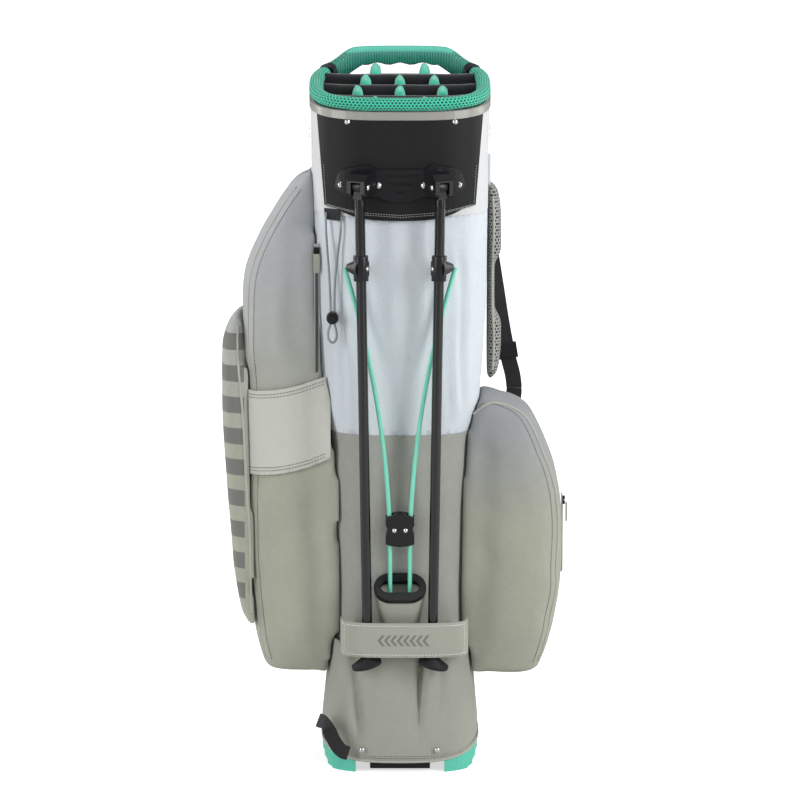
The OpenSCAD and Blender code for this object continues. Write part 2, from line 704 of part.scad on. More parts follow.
// Open-topped sleeve pocket wrapped round the middle of the left pocket
module left_pocket_sleeve() color("silver") {
    low = 375;
    high = 483;
    t = 1.8;
    skin([for (z = [low, 429, high])
        let (reach = left_reach * shape_row(left_shape, z, 1), y0 = shape_row(left_shape, z, 2),
            y1 = shape_row(left_shape, z, 3), in = pocket_outer(z + 18, reach + 0.5, y0 - 0.5, y1 + 0.5),
            out = pocket_outer(z + 18, reach + 0.5 + t, y0 - 0.5 - t, y1 + 0.5 + t))
        concat([for (p = out) [p[0], p[1], z + sleeve_slope(p)]],
            [for (p = reversed(in)) [p[0], p[1], z + sleeve_slope(p)]])]);
}
// The sleeve's edges rise towards the tube
function sleeve_slope(p) = 0.0021 * pow(max(0, p[0] + left_reach), 2);

outer_shape = [[176, 0.885, -40, 52], [213, 0.915, -44, 56], [250, 0.94, -46, 58], [299, 0.957, -47, 59],
    [361, 0.978, -48, 59], [410, 0.992, -48, 59], [461, 1, -48, 58], [510, 1, -46, 56],
    [544, 0.995, -42, 52], [564, 0.966, -36, 46], [584, 0.915, -24, 34]];

function outer_pocket_inner(z, y0, y1, n = 12) =
    let (reach = left_reach * shape_row(left_shape, z, 1), p0 = shape_row(left_shape, z, 2),
        p1 = shape_row(left_shape, z, 3), root = min(reach - 2, pocket_root(z, p0, p1)),
        clear = 2.6 + (z > 340 && z < 500 ? 3.4 : 0))
    [for (i = [0:n]) let (y = y0 + (y1 - y0) * i / n, k = abs(y - (p0 + p1) / 2) / ((p1 - p0) / 2))
        [-root - (reach - root) * pow(max(0, 1 - pow(k, pocket_e)), 1 / pocket_e) - clear, y, z]];

module left_outer_pocket() color("lightgray") {
    skin([for (s = outer_shape)
        let (z = s[0], inner = outer_pocket_inner(z, s[2], s[3]),
            root = -min(inner[0][0], inner[len(inner) - 1][0]) + 1,
                reach = max(root + 1.5, outer_reach * s[1]))
        concat([for (i = [0:18]) let (t = 90 + 10 * i)
                [-root - (reach - root) * pow(abs(cos(t)), 2 / pocket_e),
                    (s[2] + s[3]) / 2
                        + (s[3] - s[2]) / 2 * sign(sin(t)) * pow(abs(sin(t)), 2 / pocket_e), z]],
            inner)]);
}

right_shape = [[114, 0.83, -48, 48], [120, 0.873, -54, 54], [145, 0.92, -58, 58], [166, 0.945, -59, 59],
    [174, 0.955, -60, 60], [190, 0.967, -60, 60], [226, 0.997, -61, 61], [312, 1, -62, 62],
    [347, 0.993, -62, 62], [382, 0.957, -62, 62], [426, 0.873, -61, 60], [453, 0.813, -59, 58],
    [465, 0.73, -56, 54], [479, 0.56, -48, 46]];

module right_pocket() color("darkseagreen") {
    on_side(right_side) skin([for (s = right_shape) pocket_ring(s[0], right_reach * s[1], s[2], s[3])]);
}

// ---------- zips ----------

// A straight zip track with its slider and pull; frame: Z along the track, -Y out of the fabric
module zip_track(length) {
    translate([-3.2, -0.8, 0]) cube([6.4, 1.6, length]);
}
module zip_slider() {
    difference() {
        translate([-3.6, -4.2, 0]) cube([7.2, 3, 10]);
        translate([-5, -4.4, 4]) cube([10, 1.9, 2]);
    }
}
module zip_pull() {
    translate([-4, -6.6, -22]) cube([8, 1.6, 24]);
}

left_zip_low = [-104, -67.6, 508];
left_zip_high = [-104, -67.6, 672];
module left_zip_frame(z) {
    translate(left_zip_low + [0, 0, z]) children();
}
left_zip_run = left_zip_high[2] - left_zip_low[2];
module left_zip() color("dimgray") left_zip_frame(0) zip_track(left_zip_run);
module left_zip_slider() color("dimgray") left_zip_frame(left_zip_run - 14) zip_slider();
module left_zip_pull() color("dimgray") left_zip_frame(left_zip_run - 14) zip_pull();

right_zip_z = [236, 338];
module right_zip_frame(z) {
    translate([right_reach + 1.8, 20, right_zip_z[0] + z]) rotate([0, 0, 90]) children();
}
module right_zip() color("dimgray") right_zip_frame(0) zip_track(right_zip_z[1] - right_zip_z[0]);
module right_zip_slider() color("dimgray") right_zip_frame(88) zip_slider();
module right_zip_pull() color("dimgray") right_zip_frame(88) zip_pull();

// ---------- umbrella holder ----------

module umbrella_tab() color("dimgray") {
    translate([-83, -92.5, 706]) rotate([0, 0, -38]) rotate([8, 0, 0])
        translate([-12, -1.2, 0]) cube([24, 2.4, 14]);
}

cord_d = 3;
// Route of the elastic loop from one side of the tab, down through the toggle and back
cord_route = [[-74.5, -98, 715], [-73.5, -99, 706], [-73.6, -99.6, 695], [-75.2, -99.8, 680],
    [-77.2, -99.8, 664], [-79, -99.6, 648], [-80.6, -99.4, 632], [-81.4, -99, 616], [-81.6, -99, 604],
    [-81.6, -99, 594], [-81.6, -99, 584], [-81.2, -99, 575], [-79.4, -99, 568], [-78.8, -99, 561],
    [-80.6, -99, 555], [-84.2, -99, 552.6], [-87.8, -99, 555], [-89.6, -99, 561], [-89, -99, 568],
    [-86.8, -99, 575], [-86.4, -99, 584], [-86.4, -99, 594], [-86.5, -99, 604], [-87, -98.6, 616],
    [-87.8, -98, 632], [-88.8, -97, 648], [-90, -95.6, 664], [-91.2, -94, 680], [-92, -92.2, 695],
    [-92.2, -90, 706], [-91.6, -88, 715]];

module umbrella_cord() color("lightgray") {
    n = len(cord_route);
    skin([for (i = [0:n - 1])
        let (d0 = cord_route[min(n - 1, i + 1)] - cord_route[max(0, i - 1)], d = d0 / norm(d0),
            u0 = cross([0, -1, 0], d), u = u0 / norm(u0), v = cross(d, u))
        [for (k = [0:7]) cord_route[i] + cord_d / 2 * (u * cos(45 * k) + v * sin(45 * k))]]);
}

toggle_at = [-84, -99, 584];
module toggle_barrel() color("black") {
    translate(toggle_at) difference() {
        union() {
            rotate([90, 0, 0]) translate([0, 0, -5]) cylinder(h = 12, r = 7.5);
            rotate([90, 0, 0]) translate([0, 0, 7]) cylinder(h = 2, r1 = 7.5, r2 = 5.5);
        }
        translate([-4.7, -2.6, -12]) cube([9.4, 5.2, 24]);
        rotate([90, 0, 0]) translate([0, 0, 3]) cylinder(h = 10, r = 4.3);
    }
}
module toggle_button() color("dimgray") {
    translate(toggle_at) rotate([90, 0, 0]) translate([0, 0, 7.4]) cylinder(h = 4.4, r = 4.1);
}

// Webbing loop low on the left, where an umbrella's tip goes
module umbrella_loop() color("black") {
    translate([-82, -83, 46]) rotate([0, 0, -42]) rotate([0, 58, 0]) difference() {
        translate([-13, -8, -23]) cube([26, 6.6, 46]);
        translate([-14, -5.9, -20]) cube([28, 2.4, 40]);
    }
}

// ---------- strap ----------

// [height, thickness outward, depth]
pad_shape = [[482, 4, 20], [486, 11, 27], [494, 16, 31], [556, 16.5, 32], [565, 12, 31], [571, 8, 30],
    [633, 8, 30], [639, 12, 31], [648, 16.5, 32], [721, 16, 31], [730, 11, 27], [735, 4, 20]];
pad_y = 47;
pad_in = pad_reach - 16.5;
module strap_pad() color("silver") {
    skin([for (s = pad_shape) [for (i = [0:23]) let (t = 15 * i)
        [pad_in + s[1] / 2 + s[1] / 2 * sign(cos(t)) * pow(abs(cos(t)), 0.8),
            pad_y + s[2] * sign(sin(t)) * pow(abs(sin(t)), 0.7), s[0]]]]);
}

webbing_t = 2;
webbing_y = 84;
webbing_line = [[114, 648], [122, 601], [139.5, 495], [147, 462], [138, 424], [96, 380]];
// Points beside a line in the XZ plane, at distance s
function beside(line, s) = [for (i = [0:len(line) - 1])
    let (d0 = line[min(len(line) - 1, i + 1)] - line[max(0, i - 1)], d = d0 / norm(d0))
    line[i] + s * [-d[1], d[0]]];

module strap_webbing() color("black") {
    translate([0, webbing_y + webbing_t, 0]) rotate([90, 0, 0]) linear_extrude(webbing_t)
        polygon(concat(beside(webbing_line, webbing_w / 2), reversed(beside(webbing_line, -webbing_w / 2))));
}

slider_at = [136.9, 510.5];
slider_turn = atan2(webbing_line[2][0] - webbing_line[1][0], webbing_line[1][1] - webbing_line[2][1]);
module strap_slider() color("dimgray") {
    translate([slider_at[0], webbing_y, slider_at[1]]) rotate([0, -slider_turn, 0]) difference() {
        translate([-webbing_w / 2 - 3, -2, -10]) cube([webbing_w + 6, webbing_t + 4, 20]);
        translate([-webbing_w / 2 - 0.6, -0.4, -15]) cube([webbing_w + 1.2, webbing_t + 0.8, 30]);
    }
}

// Stitched tabs that join the strap to the collar and to the tube
module strap_anchors() color("black") {
    translate([pad_in + 1, pad_y - 12, 728.3]) cube([2.4, 24, 40]);
    translate([60, 79, 364]) rotate([0, 0, 10]) cube([40, 2.4, 30]);
}

module hip_pad() color("silver") {
    y_of = function(x, z, grow) (lookup(z, sleeve_b) + grow)
        * pow(max(0, 1 - pow(abs(x) / lookup(z, sleeve_a), squareness)), 1 / squareness);
    skin([for (s = [[372, 40, 4], [380, 48, 9], [410, 52, 13], [520, 56, 13], [550, 52, 9], [558, 44, 4]])
        concat([for (i = [0:16]) let (x = s[1] - 2 * s[1] * i / 16)
                [x, y_of(x, s[0], 1) + 0.5 + s[2] * pow(max(0.02, 1 - pow(abs(x) / s[1], 4)), 0.5), s[0]]],
            [for (i = [0:16]) let (x = -s[1] + 2 * s[1] * i / 16) [x, y_of(x, s[0], 1), s[0]]])]);
}

// ---------- fasteners ----------

module dome_rivets() color("silver") {
    for (x = [-65, 68]) translate([x, -collar_front_y(x), rim_z - 22]) rotate([90, 0, 0]) dome(3.6, 2, 0.4);
    for (x = [-48, 47]) translate([x, -96.9, 30]) rotate([90, 0, 0]) dome(3.6, 2, 0.3);
    for (x = [-73, -26, 29, 73]) let (y = section_y(x, collar_a[1][1] + plate_gap + plate_t,
        collar_f[1][1] + plate_gap + plate_t))
        translate([x, -y - 0.1, 752]) rotate([90, 0, atan(-x / 170)]) dome(3.8, 2, 0.4);
}
function section_y(x, a, f) = f * pow(1 - pow(abs(x) / a, squareness), 1 / squareness);
function collar_front_y(x) = section_y(x, collar_a[1][1] + 1.7, collar_f[1][1] + 1.7) + 0.1;

module side_screws() color("silver") {
    for (s = [-1, 1], k = [-5, 5])
        translate([s * (collar_a[1][1] + 0.3), -12, 806 + k]) rotate([0, s * 90, 0]) dome(3, 2, 0.3);
}

// ---------- nodes ----------

module place() {
    translate([axis_x, axis_y, 0]) children();
}

place() base_cup();
place() dome_rivets();
place() boot();
place() lower_front_panel();
place() upper_front_panel();
place() back_panel();
place() collar_shell();
place() collar_wrap();
place() front_patch();
place() side_screws();
place() rim_trim();
place() rim_cushion();
place() rim_end_caps();
place() lift_handle();
place() divider_bars();
place() divider_fins();
place() stay_rods();
place() stand_plate();
place() leg_hinge_pins();
place() rod_port_bezel();
place() rod_port_cup();
place() left_pocket();
place() left_pocket_sleeve();
place() left_outer_pocket();
place() right_pocket();
place() left_zip();
place() right_zip();
place() umbrella_tab();
place() umbrella_cord();
place() umbrella_loop();
place() strap_pad();
place() strap_webbing();
place() strap_anchors();
place() hip_pad();
place() actuator_pin();
place() on_side(left_side) leg_plug();  // left_leg_plug
place() on_side(left_side) leg_tube();  // left_leg_tube
place() on_side(left_side) leg_collar();  // left_leg_collar
place() on_side(left_side) collar_screw();  // left_collar_screw
place() on_side(left_side) leg_foot();  // left_leg_foot
place() on_side(right_side) leg_plug();  // right_leg_plug
place() on_side(right_side) leg_tube();  // right_leg_tube
place() on_side(right_side) leg_collar();  // right_leg_collar
place() on_side(right_side) collar_screw();  // right_collar_screw
place() on_side(right_side) leg_foot();  // right_leg_foot
place() lower_tie_rods();
place() rod_clamp();
place() clamp_rivets();
place() on_side(left_side) tie_rod();  // left_tie_rod
place() on_side(right_side) tie_rod();  // right_tie_rod
place() actuator_foot();
place() leg_lock_band();
place() toggle_barrel();
place() toggle_button();
place() strap_slider();
place() left_zip_slider();
place() left_zip_pull();
place() right_zip_slider();
place() right_zip_pull();
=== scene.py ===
import math

import bmesh
import bpy
from mathutils import Matrix, Vector, noise
from mathutils.bvhtree import BVHTree


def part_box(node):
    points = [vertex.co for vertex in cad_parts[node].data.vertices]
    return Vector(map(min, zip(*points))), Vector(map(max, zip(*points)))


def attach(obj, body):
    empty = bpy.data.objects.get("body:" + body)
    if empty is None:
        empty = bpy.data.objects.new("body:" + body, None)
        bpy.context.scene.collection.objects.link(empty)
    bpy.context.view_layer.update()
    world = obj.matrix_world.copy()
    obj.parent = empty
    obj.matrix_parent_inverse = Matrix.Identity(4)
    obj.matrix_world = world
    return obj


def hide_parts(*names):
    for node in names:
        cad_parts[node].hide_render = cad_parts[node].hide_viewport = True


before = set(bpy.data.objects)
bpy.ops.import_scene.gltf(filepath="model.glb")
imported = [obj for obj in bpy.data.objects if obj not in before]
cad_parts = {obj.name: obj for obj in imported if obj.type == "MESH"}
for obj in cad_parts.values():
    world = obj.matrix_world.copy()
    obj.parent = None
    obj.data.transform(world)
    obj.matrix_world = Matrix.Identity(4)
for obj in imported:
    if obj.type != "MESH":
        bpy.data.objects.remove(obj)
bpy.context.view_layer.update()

bl_info = {
    "name": "Golf Stand Bag",
    "version": (1, 0, 0),
    "blender": (4, 5, 0),
    "location": "3D View > Sidebar > Golf Bag",
    "description": "Dresses a stand bag's frame with its cloth, padding, cords and fittings",
    "category": "Add Mesh",
}

MM = 0.001
UP = Vector((0, 0, 1))
FRONT = Vector((0, -1, 0))


# ---------- places taken from the frame ----------


def node_box(node):
    """Lowest and highest corner of a frame node, as vectors."""
    low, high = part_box(node)
    return Vector(low), Vector(high)


boot_low, boot_high = node_box("boot")
BOOT_FRONT = 100 * MM       # from the tube's axis to the front of the boot
AXIS = Vector(((boot_low.x + boot_high.x) / 2, boot_low.y + BOOT_FRONT, 0))
GRIP = "lift_handle"
SQUARENESS = 3.2            # of the tube's section, where 2 is an ellipse


def at(x, y, z):
    """A point given in millimetres from the tube's axis and the floor."""
    return AXIS + Vector((x, y, z)) * MM


def section(angle, side, front, back):
    """A point of the tube's rounded square section at an angle, in millimetres from its axis."""
    power = 2 / SQUARENESS
    c, s = math.cos(angle), math.sin(angle)
    x = side * math.copysign(abs(c) ** power, c)
    y = (front if s < 0 else back) * math.copysign(abs(s) ** power, s)
    return x, y


# ---------- settings ----------


class BagSizes(bpy.types.PropertyGroup):
    """Sizes that a user may change, in metres."""

    pocket_swell: bpy.props.FloatProperty(
        name="Pocket swell", description="Most that a pocket's cloth may bulge",
        default=0.007, min=0.0, max=0.009, unit="LENGTH")
    pad_swell: bpy.props.FloatProperty(
        name="Pad swell", description="Most that a padded piece may bulge",
        default=0.003, min=0.0, max=0.005, unit="LENGTH")
    cloth_voxel: bpy.props.FloatProperty(
        name="Cloth mesh", description="Size of a face of the simulated cloth",
        default=0.006, min=0.004, max=0.008, unit="LENGTH")
    stitch_pitch: bpy.props.FloatProperty(
        name="Stitch pitch", description="Distance from one stitch to the next",
        default=0.0042, min=0.003, max=0.006, unit="LENGTH")
    thread_radius: bpy.props.FloatProperty(
        name="Thread radius", description="Half the thickness of the sewing thread",
        default=0.00042, min=0.0003, max=0.0006, unit="LENGTH")
    piping_radius: bpy.props.FloatProperty(
        name="Piping radius", description="Half the thickness of the piping along the seams",
        default=0.0017, min=0.001, max=0.0025, unit="LENGTH")


def colour_setting(name, description, default):
    """A colour that a user may change."""
    return bpy.props.FloatVectorProperty(
        name=name, description=description, subtype="COLOR", size=3, default=default, min=0, max=1)


class BagColours(bpy.types.PropertyGroup):
    """Colours of the bag's cloths, plastics and metals, in linear light."""

    mint: colour_setting("Mint plastic", "Base and lift handle", (0.080, 0.450, 0.335))
    mint_mesh: colour_setting("Mint mesh", "Cover of the padded rim", (0.045, 0.520, 0.345))
    ice: colour_setting("Ice cloth", "Upper part of the tube", (0.560, 0.605, 0.645))
    collar: colour_setting("Collar cloth", "Sides of the collar", (0.560, 0.572, 0.580))
    # Grip face: darker than the mint plastic, partly its own colour and partly painted shade on the handle's
    # inner face
    grip: colour_setting("Lift handle", "Ribbed grip of the lift handle", (0.035, 0.300, 0.225))
    sage_dark: colour_setting("Dark sage cloth", "Lower part of the tube", (0.300, 0.308, 0.277))
    # Pockets' tops: their own cloth with a painted bluish reflection, fading into the cloth's own colour
    # below
    pocket_top_with_painted_reflection: colour_setting("Pocket cloth, top", "Pockets near their top", (0.375, 0.390, 0.405))
    pocket_low: colour_setting("Pocket cloth, below", "Pockets below", (0.335, 0.345, 0.280))
    band: colour_setting("Band cloth", "Boot and leg lock", (0.310, 0.315, 0.268))
    cuff: colour_setting("Sleeve cloth", "Elastic sleeve on the left pocket", (0.500, 0.505, 0.455))
    printing: colour_setting("Print", "Printed bars", (0.150, 0.155, 0.140))
    vinyl: colour_setting("Black vinyl", "Patch on the collar", (0.008, 0.0085, 0.009))
    silver: colour_setting("Silver vinyl", "Band under the rim", (0.300, 0.295, 0.270))
    plastic: colour_setting("Black plastic", "Stand, clamp and port", (0.005, 0.005, 0.0065))
    rod: colour_setting("Rod paint", "Tie rods", (0.170, 0.610, 0.450))
    leg: colour_setting("Leg paint", "Leg tubes", (0.002, 0.002, 0.0025))
    webbing: colour_setting("Webbing", "Straps and tapes", (0.010, 0.010, 0.011))
    thread: colour_setting("Thread", "Stitches on the vinyl and the bands", (0.620, 0.630, 0.600))
    floor: colour_setting("Floor", "Floor under the bag", (0.700, 0.700, 0.700))


def sizes():
    """The scene's sizes."""
    return bpy.context.scene.bag_sizes


def colours():
    """The scene's colours."""
    return bpy.context.scene.bag_colours


# ---------- shader groups ----------


def new_group(name, inputs, outputs):
    """A shader node group with float, vector or colour sockets, and its input and output nodes."""
    group = bpy.data.node_groups.new(name, "ShaderNodeTree")
    for socket, kind, value in inputs:
        made = group.interface.new_socket(socket, in_out="INPUT", socket_type=f"NodeSocket{kind}")
        if value is not None:
            made.default_value = value
    for socket, kind in outputs:
        group.interface.new_socket(socket, in_out="OUTPUT", socket_type=f"NodeSocket{kind}")
    return group, group.nodes.new("NodeGroupInput"), group.nodes.new("NodeGroupOutput")


def put(tree, value, socket):
    """Links value to a socket if it is a socket, or else stores it there."""
    if isinstance(value, bpy.types.NodeSocket):
        tree.links.new(value, socket)
    else:
        socket.default_value = value


def maths(tree, operation, a, b=0.0, c=0.0):
    """The output of a Math node."""
    node = tree.nodes.new("ShaderNodeMath")
    node.operation = operation
    for value, socket in zip((a, b, c), node.inputs):
        put(tree, value, socket)
    return node.outputs[0]


def vector_maths(tree, operation, a, b=None, scale=None):
    """The output of a Vector Math node."""
    node = tree.nodes.new("ShaderNodeVectorMath")
    node.operation = operation
    put(tree, a, node.inputs[0])
    if b is not None:
        put(tree, b, node.inputs[1])
    if scale is not None:
        put(tree, scale, node.inputs["Scale"])
    return node.outputs["Value" if operation == "LENGTH" else "Vector"]


def ramp(tree, value, low, high, to_low=0.0, to_high=1.0):
    """value mapped smoothly from low..high to to_low..to_high."""
    node = tree.nodes.new("ShaderNodeMapRange")
    node.interpolation_type = "SMOOTHSTEP"
    for number, name in ((value, "Value"), (low, "From Min"), (high, "From Max"),
                         (to_low, "To Min"), (to_high, "To Max")):
        put(tree, number, node.inputs[name])
    return node.outputs["Result"]


def mixed(tree, factor, a, b):
    """Colour a blended to colour b by factor."""
    node = tree.nodes.new("ShaderNodeMix")
    node.data_type = "RGBA"
    put(tree, factor, node.inputs["Factor"])
    put(tree, a, node.inputs["A"])
    put(tree, b, node.inputs["B"])
    return node.outputs["Result"]


def noise_value(tree, vector, scale, detail=3.0, roughness=0.55):
    """The value of a noise texture."""
    node = tree.nodes.new("ShaderNodeTexNoise")
    put(tree, vector, node.inputs["Vector"])
    put(tree, scale, node.inputs["Scale"])
    node.inputs["Detail"].default_value = detail
    node.inputs["Roughness"].default_value = roughness
    return node.outputs["Fac"]


def twill_group():
    """Diagonal ribs of a twill with crossing yarns and slubs, from UV in metres."""
    group, inside, outside = new_group(
        "Twill", [("Vector", "Vector", None), ("Pitch", "Float", 0.0016)],
        [("Height", "Float"), ("Yarn", "Float")])
    turns = maths(group, "DIVIDE", 2 * math.pi, inside.outputs["Pitch"])
    split = group.nodes.new("ShaderNodeSeparateXYZ")
    put(group, inside.outputs["Vector"], split.inputs[0])
    u = maths(group, "MULTIPLY", split.outputs[0], turns)
    v = maths(group, "MULTIPLY", split.outputs[1], turns)
    rib = maths(group, "SINE", maths(group, "ADD", u, v))
    cross = maths(group, "MULTIPLY", maths(group, "SINE", maths(group, "MULTIPLY", u, 2.0)),
                  maths(group, "SINE", maths(group, "MULTIPLY", v, 2.0)))
    slub = noise_value(group, inside.outputs["Vector"], 900.0)
    height = maths(group, "MULTIPLY_ADD", rib, 0.30, 0.5)
    height = maths(group, "MULTIPLY_ADD", cross, 0.12, height)
    height = maths(group, "MULTIPLY_ADD", slub, 0.25, height)
    put(group, height, outside.inputs["Height"])
    put(group, ramp(group, height, 0.25, 0.95), outside.inputs["Yarn"])
    return group


def open_mesh_group():
    """Hexagonal holes of a spacer mesh, from UV in metres. Hole is 1 in a hole."""
    group, inside, outside = new_group(
        "Open mesh", [("Vector", "Vector", None), ("Pitch", "Float", 0.005), ("Size", "Float", 0.3)],
        [("Hole", "Float"), ("Height", "Float")])
    root3 = math.sqrt(3)
    cells = vector_maths(group, "DIVIDE", inside.outputs["Vector"], (1, root3, 1))
    split = group.nodes.new("ShaderNodeCombineXYZ")
    for i in range(3):
        put(group, inside.outputs["Pitch"], split.inputs[i])
    cells = vector_maths(group, "DIVIDE", cells, split.outputs[0])
    near = None
    for shift in ((0, 0, 0), (0.5, 0.5, 0)):
        cell = vector_maths(group, "FRACTION", vector_maths(group, "ADD", cells, shift))
        offset = vector_maths(group, "SUBTRACT", cell, (0.5, 0.5, 0.0))
        offset = vector_maths(group, "MULTIPLY", offset, (1, root3, 0))
        length = vector_maths(group, "LENGTH", offset)
        near = length if near is None else maths(group, "MINIMUM", near, length)
    hole = ramp(group, near, maths(group, "SUBTRACT", inside.outputs["Size"], 0.07),
                maths(group, "ADD", inside.outputs["Size"], 0.05), 1.0, 0.0)
    put(group, hole, outside.inputs["Hole"])
    yarn = noise_value(group, inside.outputs["Vector"], 1500.0)
    put(group, maths(group, "SUBTRACT", maths(group, "MULTIPLY", yarn, 0.3), hole), outside.inputs["Height"])
    return group


def grain_group():
    """Pebbled grain of vinyl or the fine texture of moulded plastic."""
    group, inside, outside = new_group(
        "Grain", [("Vector", "Vector", None), ("Scale", "Float", 900.0)],
        [("Height", "Float"), ("Pores", "Float")])
    cells = group.nodes.new("ShaderNodeTexVoronoi")
    cells.feature = "SMOOTH_F1"
    put(group, inside.outputs["Vector"], cells.inputs["Vector"])
    put(group, inside.outputs["Scale"], cells.inputs["Scale"])
    fine_scale = maths(group, "MULTIPLY", inside.outputs["Scale"], 2.0)
    fine = noise_value(group, inside.outputs["Vector"], fine_scale)
    height = maths(group, "MULTIPLY_ADD", fine, 0.35, cells.outputs["Distance"])
    put(group, height, outside.inputs["Height"])
    put(group, ramp(group, height, 0.2, 0.8), outside.inputs["Pores"])
    return group


def soil_group():
    """Soft uneven colour, with a little dust: multiplies a colour and shifts the roughness."""
    group, inside, outside = new_group(
        "Soil", [("Vector", "Vector", None), ("Color", "Color", (1, 1, 1, 1)), ("Amount", "Float", 0.12),
                 ("Scale", "Float", 14.0), ("Roughness", "Float", 0.6)],
        [("Color", "Color"), ("Roughness", "Float")])
    broad = noise_value(group, inside.outputs["Vector"], inside.outputs["Scale"])
    fine_scale = maths(group, "MULTIPLY", inside.outputs["Scale"], 9.0)
    fine = noise_value(group, inside.outputs["Vector"], fine_scale)
    both = maths(group, "MULTIPLY_ADD", fine, 0.4, maths(group, "MULTIPLY", broad, 0.6))
    shade = maths(group, "SUBTRACT", both, 0.5)
    shade = maths(group, "MULTIPLY", shade, maths(group, "MULTIPLY", inside.outputs["Amount"], 4.0))
    factor = maths(group, "ADD", shade, 1.0)
    put(group, vector_maths(group, "SCALE", inside.outputs["Color"], scale=factor), outside.inputs["Color"])
    put(group, maths(group, "ADD", inside.outputs["Roughness"], maths(group, "MULTIPLY", shade, 0.5)),
        outside.inputs["Roughness"])
    return group


GROUPS = {}
GROUP_MAKERS = {"Twill": twill_group, "Open mesh": open_mesh_group, "Grain": grain_group, "Soil": soil_group}


def effect(tree, name, **values):
    """A node of one of the shared groups, with its inputs set or linked."""
    if name not in GROUPS:
        GROUPS[name] = GROUP_MAKERS[name]()
    node = tree.nodes.new("ShaderNodeGroup")
    node.node_tree = GROUPS[name]
    for key, value in values.items():
        put(tree, value, node.inputs[key])
    return node


# ---------- materials ----------

MATERIALS = {}


def start_material(name, roughness=0.6, **constants):
    """A new material: (material, tree, Principled node, object coordinates, UV coordinates)."""
    material = bpy.data.materials.new(name)
    material.use_nodes = True
    tree = material.node_tree
    shader = tree.nodes["Principled BSDF"]
    shader.inputs["Roughness"].default_value = roughness
    for key, value in constants.items():
        shader.inputs[key.replace("_", " ")].default_value = value
    place = tree.nodes.new("ShaderNodeTexCoord")
    MATERIALS[name] = material
    return material, tree, shader, place.outputs["Object"], place.outputs["UV"]


def bumped(tree, shader, height, strength, distance):
    """Feeds a Bump node to the shader."""
    bump = tree.nodes.new("ShaderNodeBump")
    bump.inputs["Strength"].default_value = strength
    bump.inputs["Distance"].default_value = distance
    put(tree, height, bump.inputs["Height"])
    put(tree, bump.outputs["Normal"], shader.inputs["Normal"])


def rgba(colour, factor=1.0):
    """A colour with alpha, made darker or lighter."""
    return (colour[0] * factor, colour[1] * factor, colour[2] * factor, 1.0)


def twill_material(name, colour, low_colour=None, painted_reflection_fade=(0.0, 1.0), pitch=0.0017, soil=0.09,
                   roughness=0.72, sheen=0.12, bump=0.55):
    """Coated twill, with an optional painted reflection: colour at the top, fading down the piece to the
    cloth's own low_colour.
    """
    material, tree, shader, place, uv = start_material(
        name, roughness, Sheen_Weight=sheen, Sheen_Roughness=0.4, Specular_IOR_Level=0.35)
    twill = effect(tree, "Twill", Vector=uv, Pitch=pitch)
    base = rgba(colour)
    # Painted reflection: colour at the top fades into low_colour lower down, with a little wobble
    if low_colour is not None:
        split = tree.nodes.new("ShaderNodeSeparateXYZ")
        put(tree, place, split.inputs[0])
        wobble = noise_value(tree, place, 9.0)
        height = maths(tree, "MULTIPLY_ADD", wobble, 0.05, split.outputs[2])
        base = mixed(tree, ramp(tree, height, painted_reflection_fade[0], painted_reflection_fade[1]), rgba(low_colour), rgba(colour))
    soiled = effect(tree, "Soil", Vector=place, Color=base, Amount=soil, Roughness=roughness)
    yarns = maths(tree, "MULTIPLY_ADD", twill.outputs["Yarn"], 0.24, 0.86)
    tinted = vector_maths(tree, "SCALE", soiled.outputs["Color"], scale=yarns)
    put(tree, tinted, shader.inputs["Base Color"])
    put(tree, soiled.outputs["Roughness"], shader.inputs["Roughness"])
    bumped(tree, shader, twill.outputs["Height"], bump, 0.0005)
    return material


def mesh_material(name, colour, hole_shade_colour, pitch=0.005, size=0.3, bump=0.8):
    """Open spacer mesh, its holes painted dark as painted shade down in them."""
    material, tree, shader, place, uv = start_material(
        name, 0.7, Sheen_Weight=0.15, Sheen_Roughness=0.5, Specular_IOR_Level=0.3)
    holes = effect(tree, "Open mesh", Vector=uv, Pitch=pitch, Size=size)
    soiled = effect(tree, "Soil", Vector=place, Color=rgba(colour), Amount=0.10, Roughness=0.68)
    # Holes take the dark colour: painted shade in the holes
    put(tree, mixed(tree, holes.outputs["Hole"], soiled.outputs["Color"], rgba(hole_shade_colour)),
        shader.inputs["Base Color"])
    put(tree, soiled.outputs["Roughness"], shader.inputs["Roughness"])
    bumped(tree, shader, holes.outputs["Height"], bump, 0.0012)
    return material


def grain_material(name, colour, roughness=0.5, scale=900.0, bump=0.25, soil=0.10, depth=0.0003, **constants):
    """Grained vinyl, moulded plastic or rubber."""
    material, tree, shader, place, _ = start_material(name, roughness, **constants)
    grain = effect(tree, "Grain", Vector=place, Scale=scale)
    soiled = effect(tree, "Soil", Vector=place, Color=rgba(colour), Amount=soil, Scale=22.0,
                    Roughness=roughness)
    put(tree, mixed(tree, maths(tree, "MULTIPLY", grain.outputs["Pores"], 0.25),
                    soiled.outputs["Color"], rgba(colour, 1.35)), shader.inputs["Base Color"])
    put(tree, soiled.outputs["Roughness"], shader.inputs["Roughness"])
    bumped(tree, shader, grain.outputs["Height"], bump, depth)
    return material


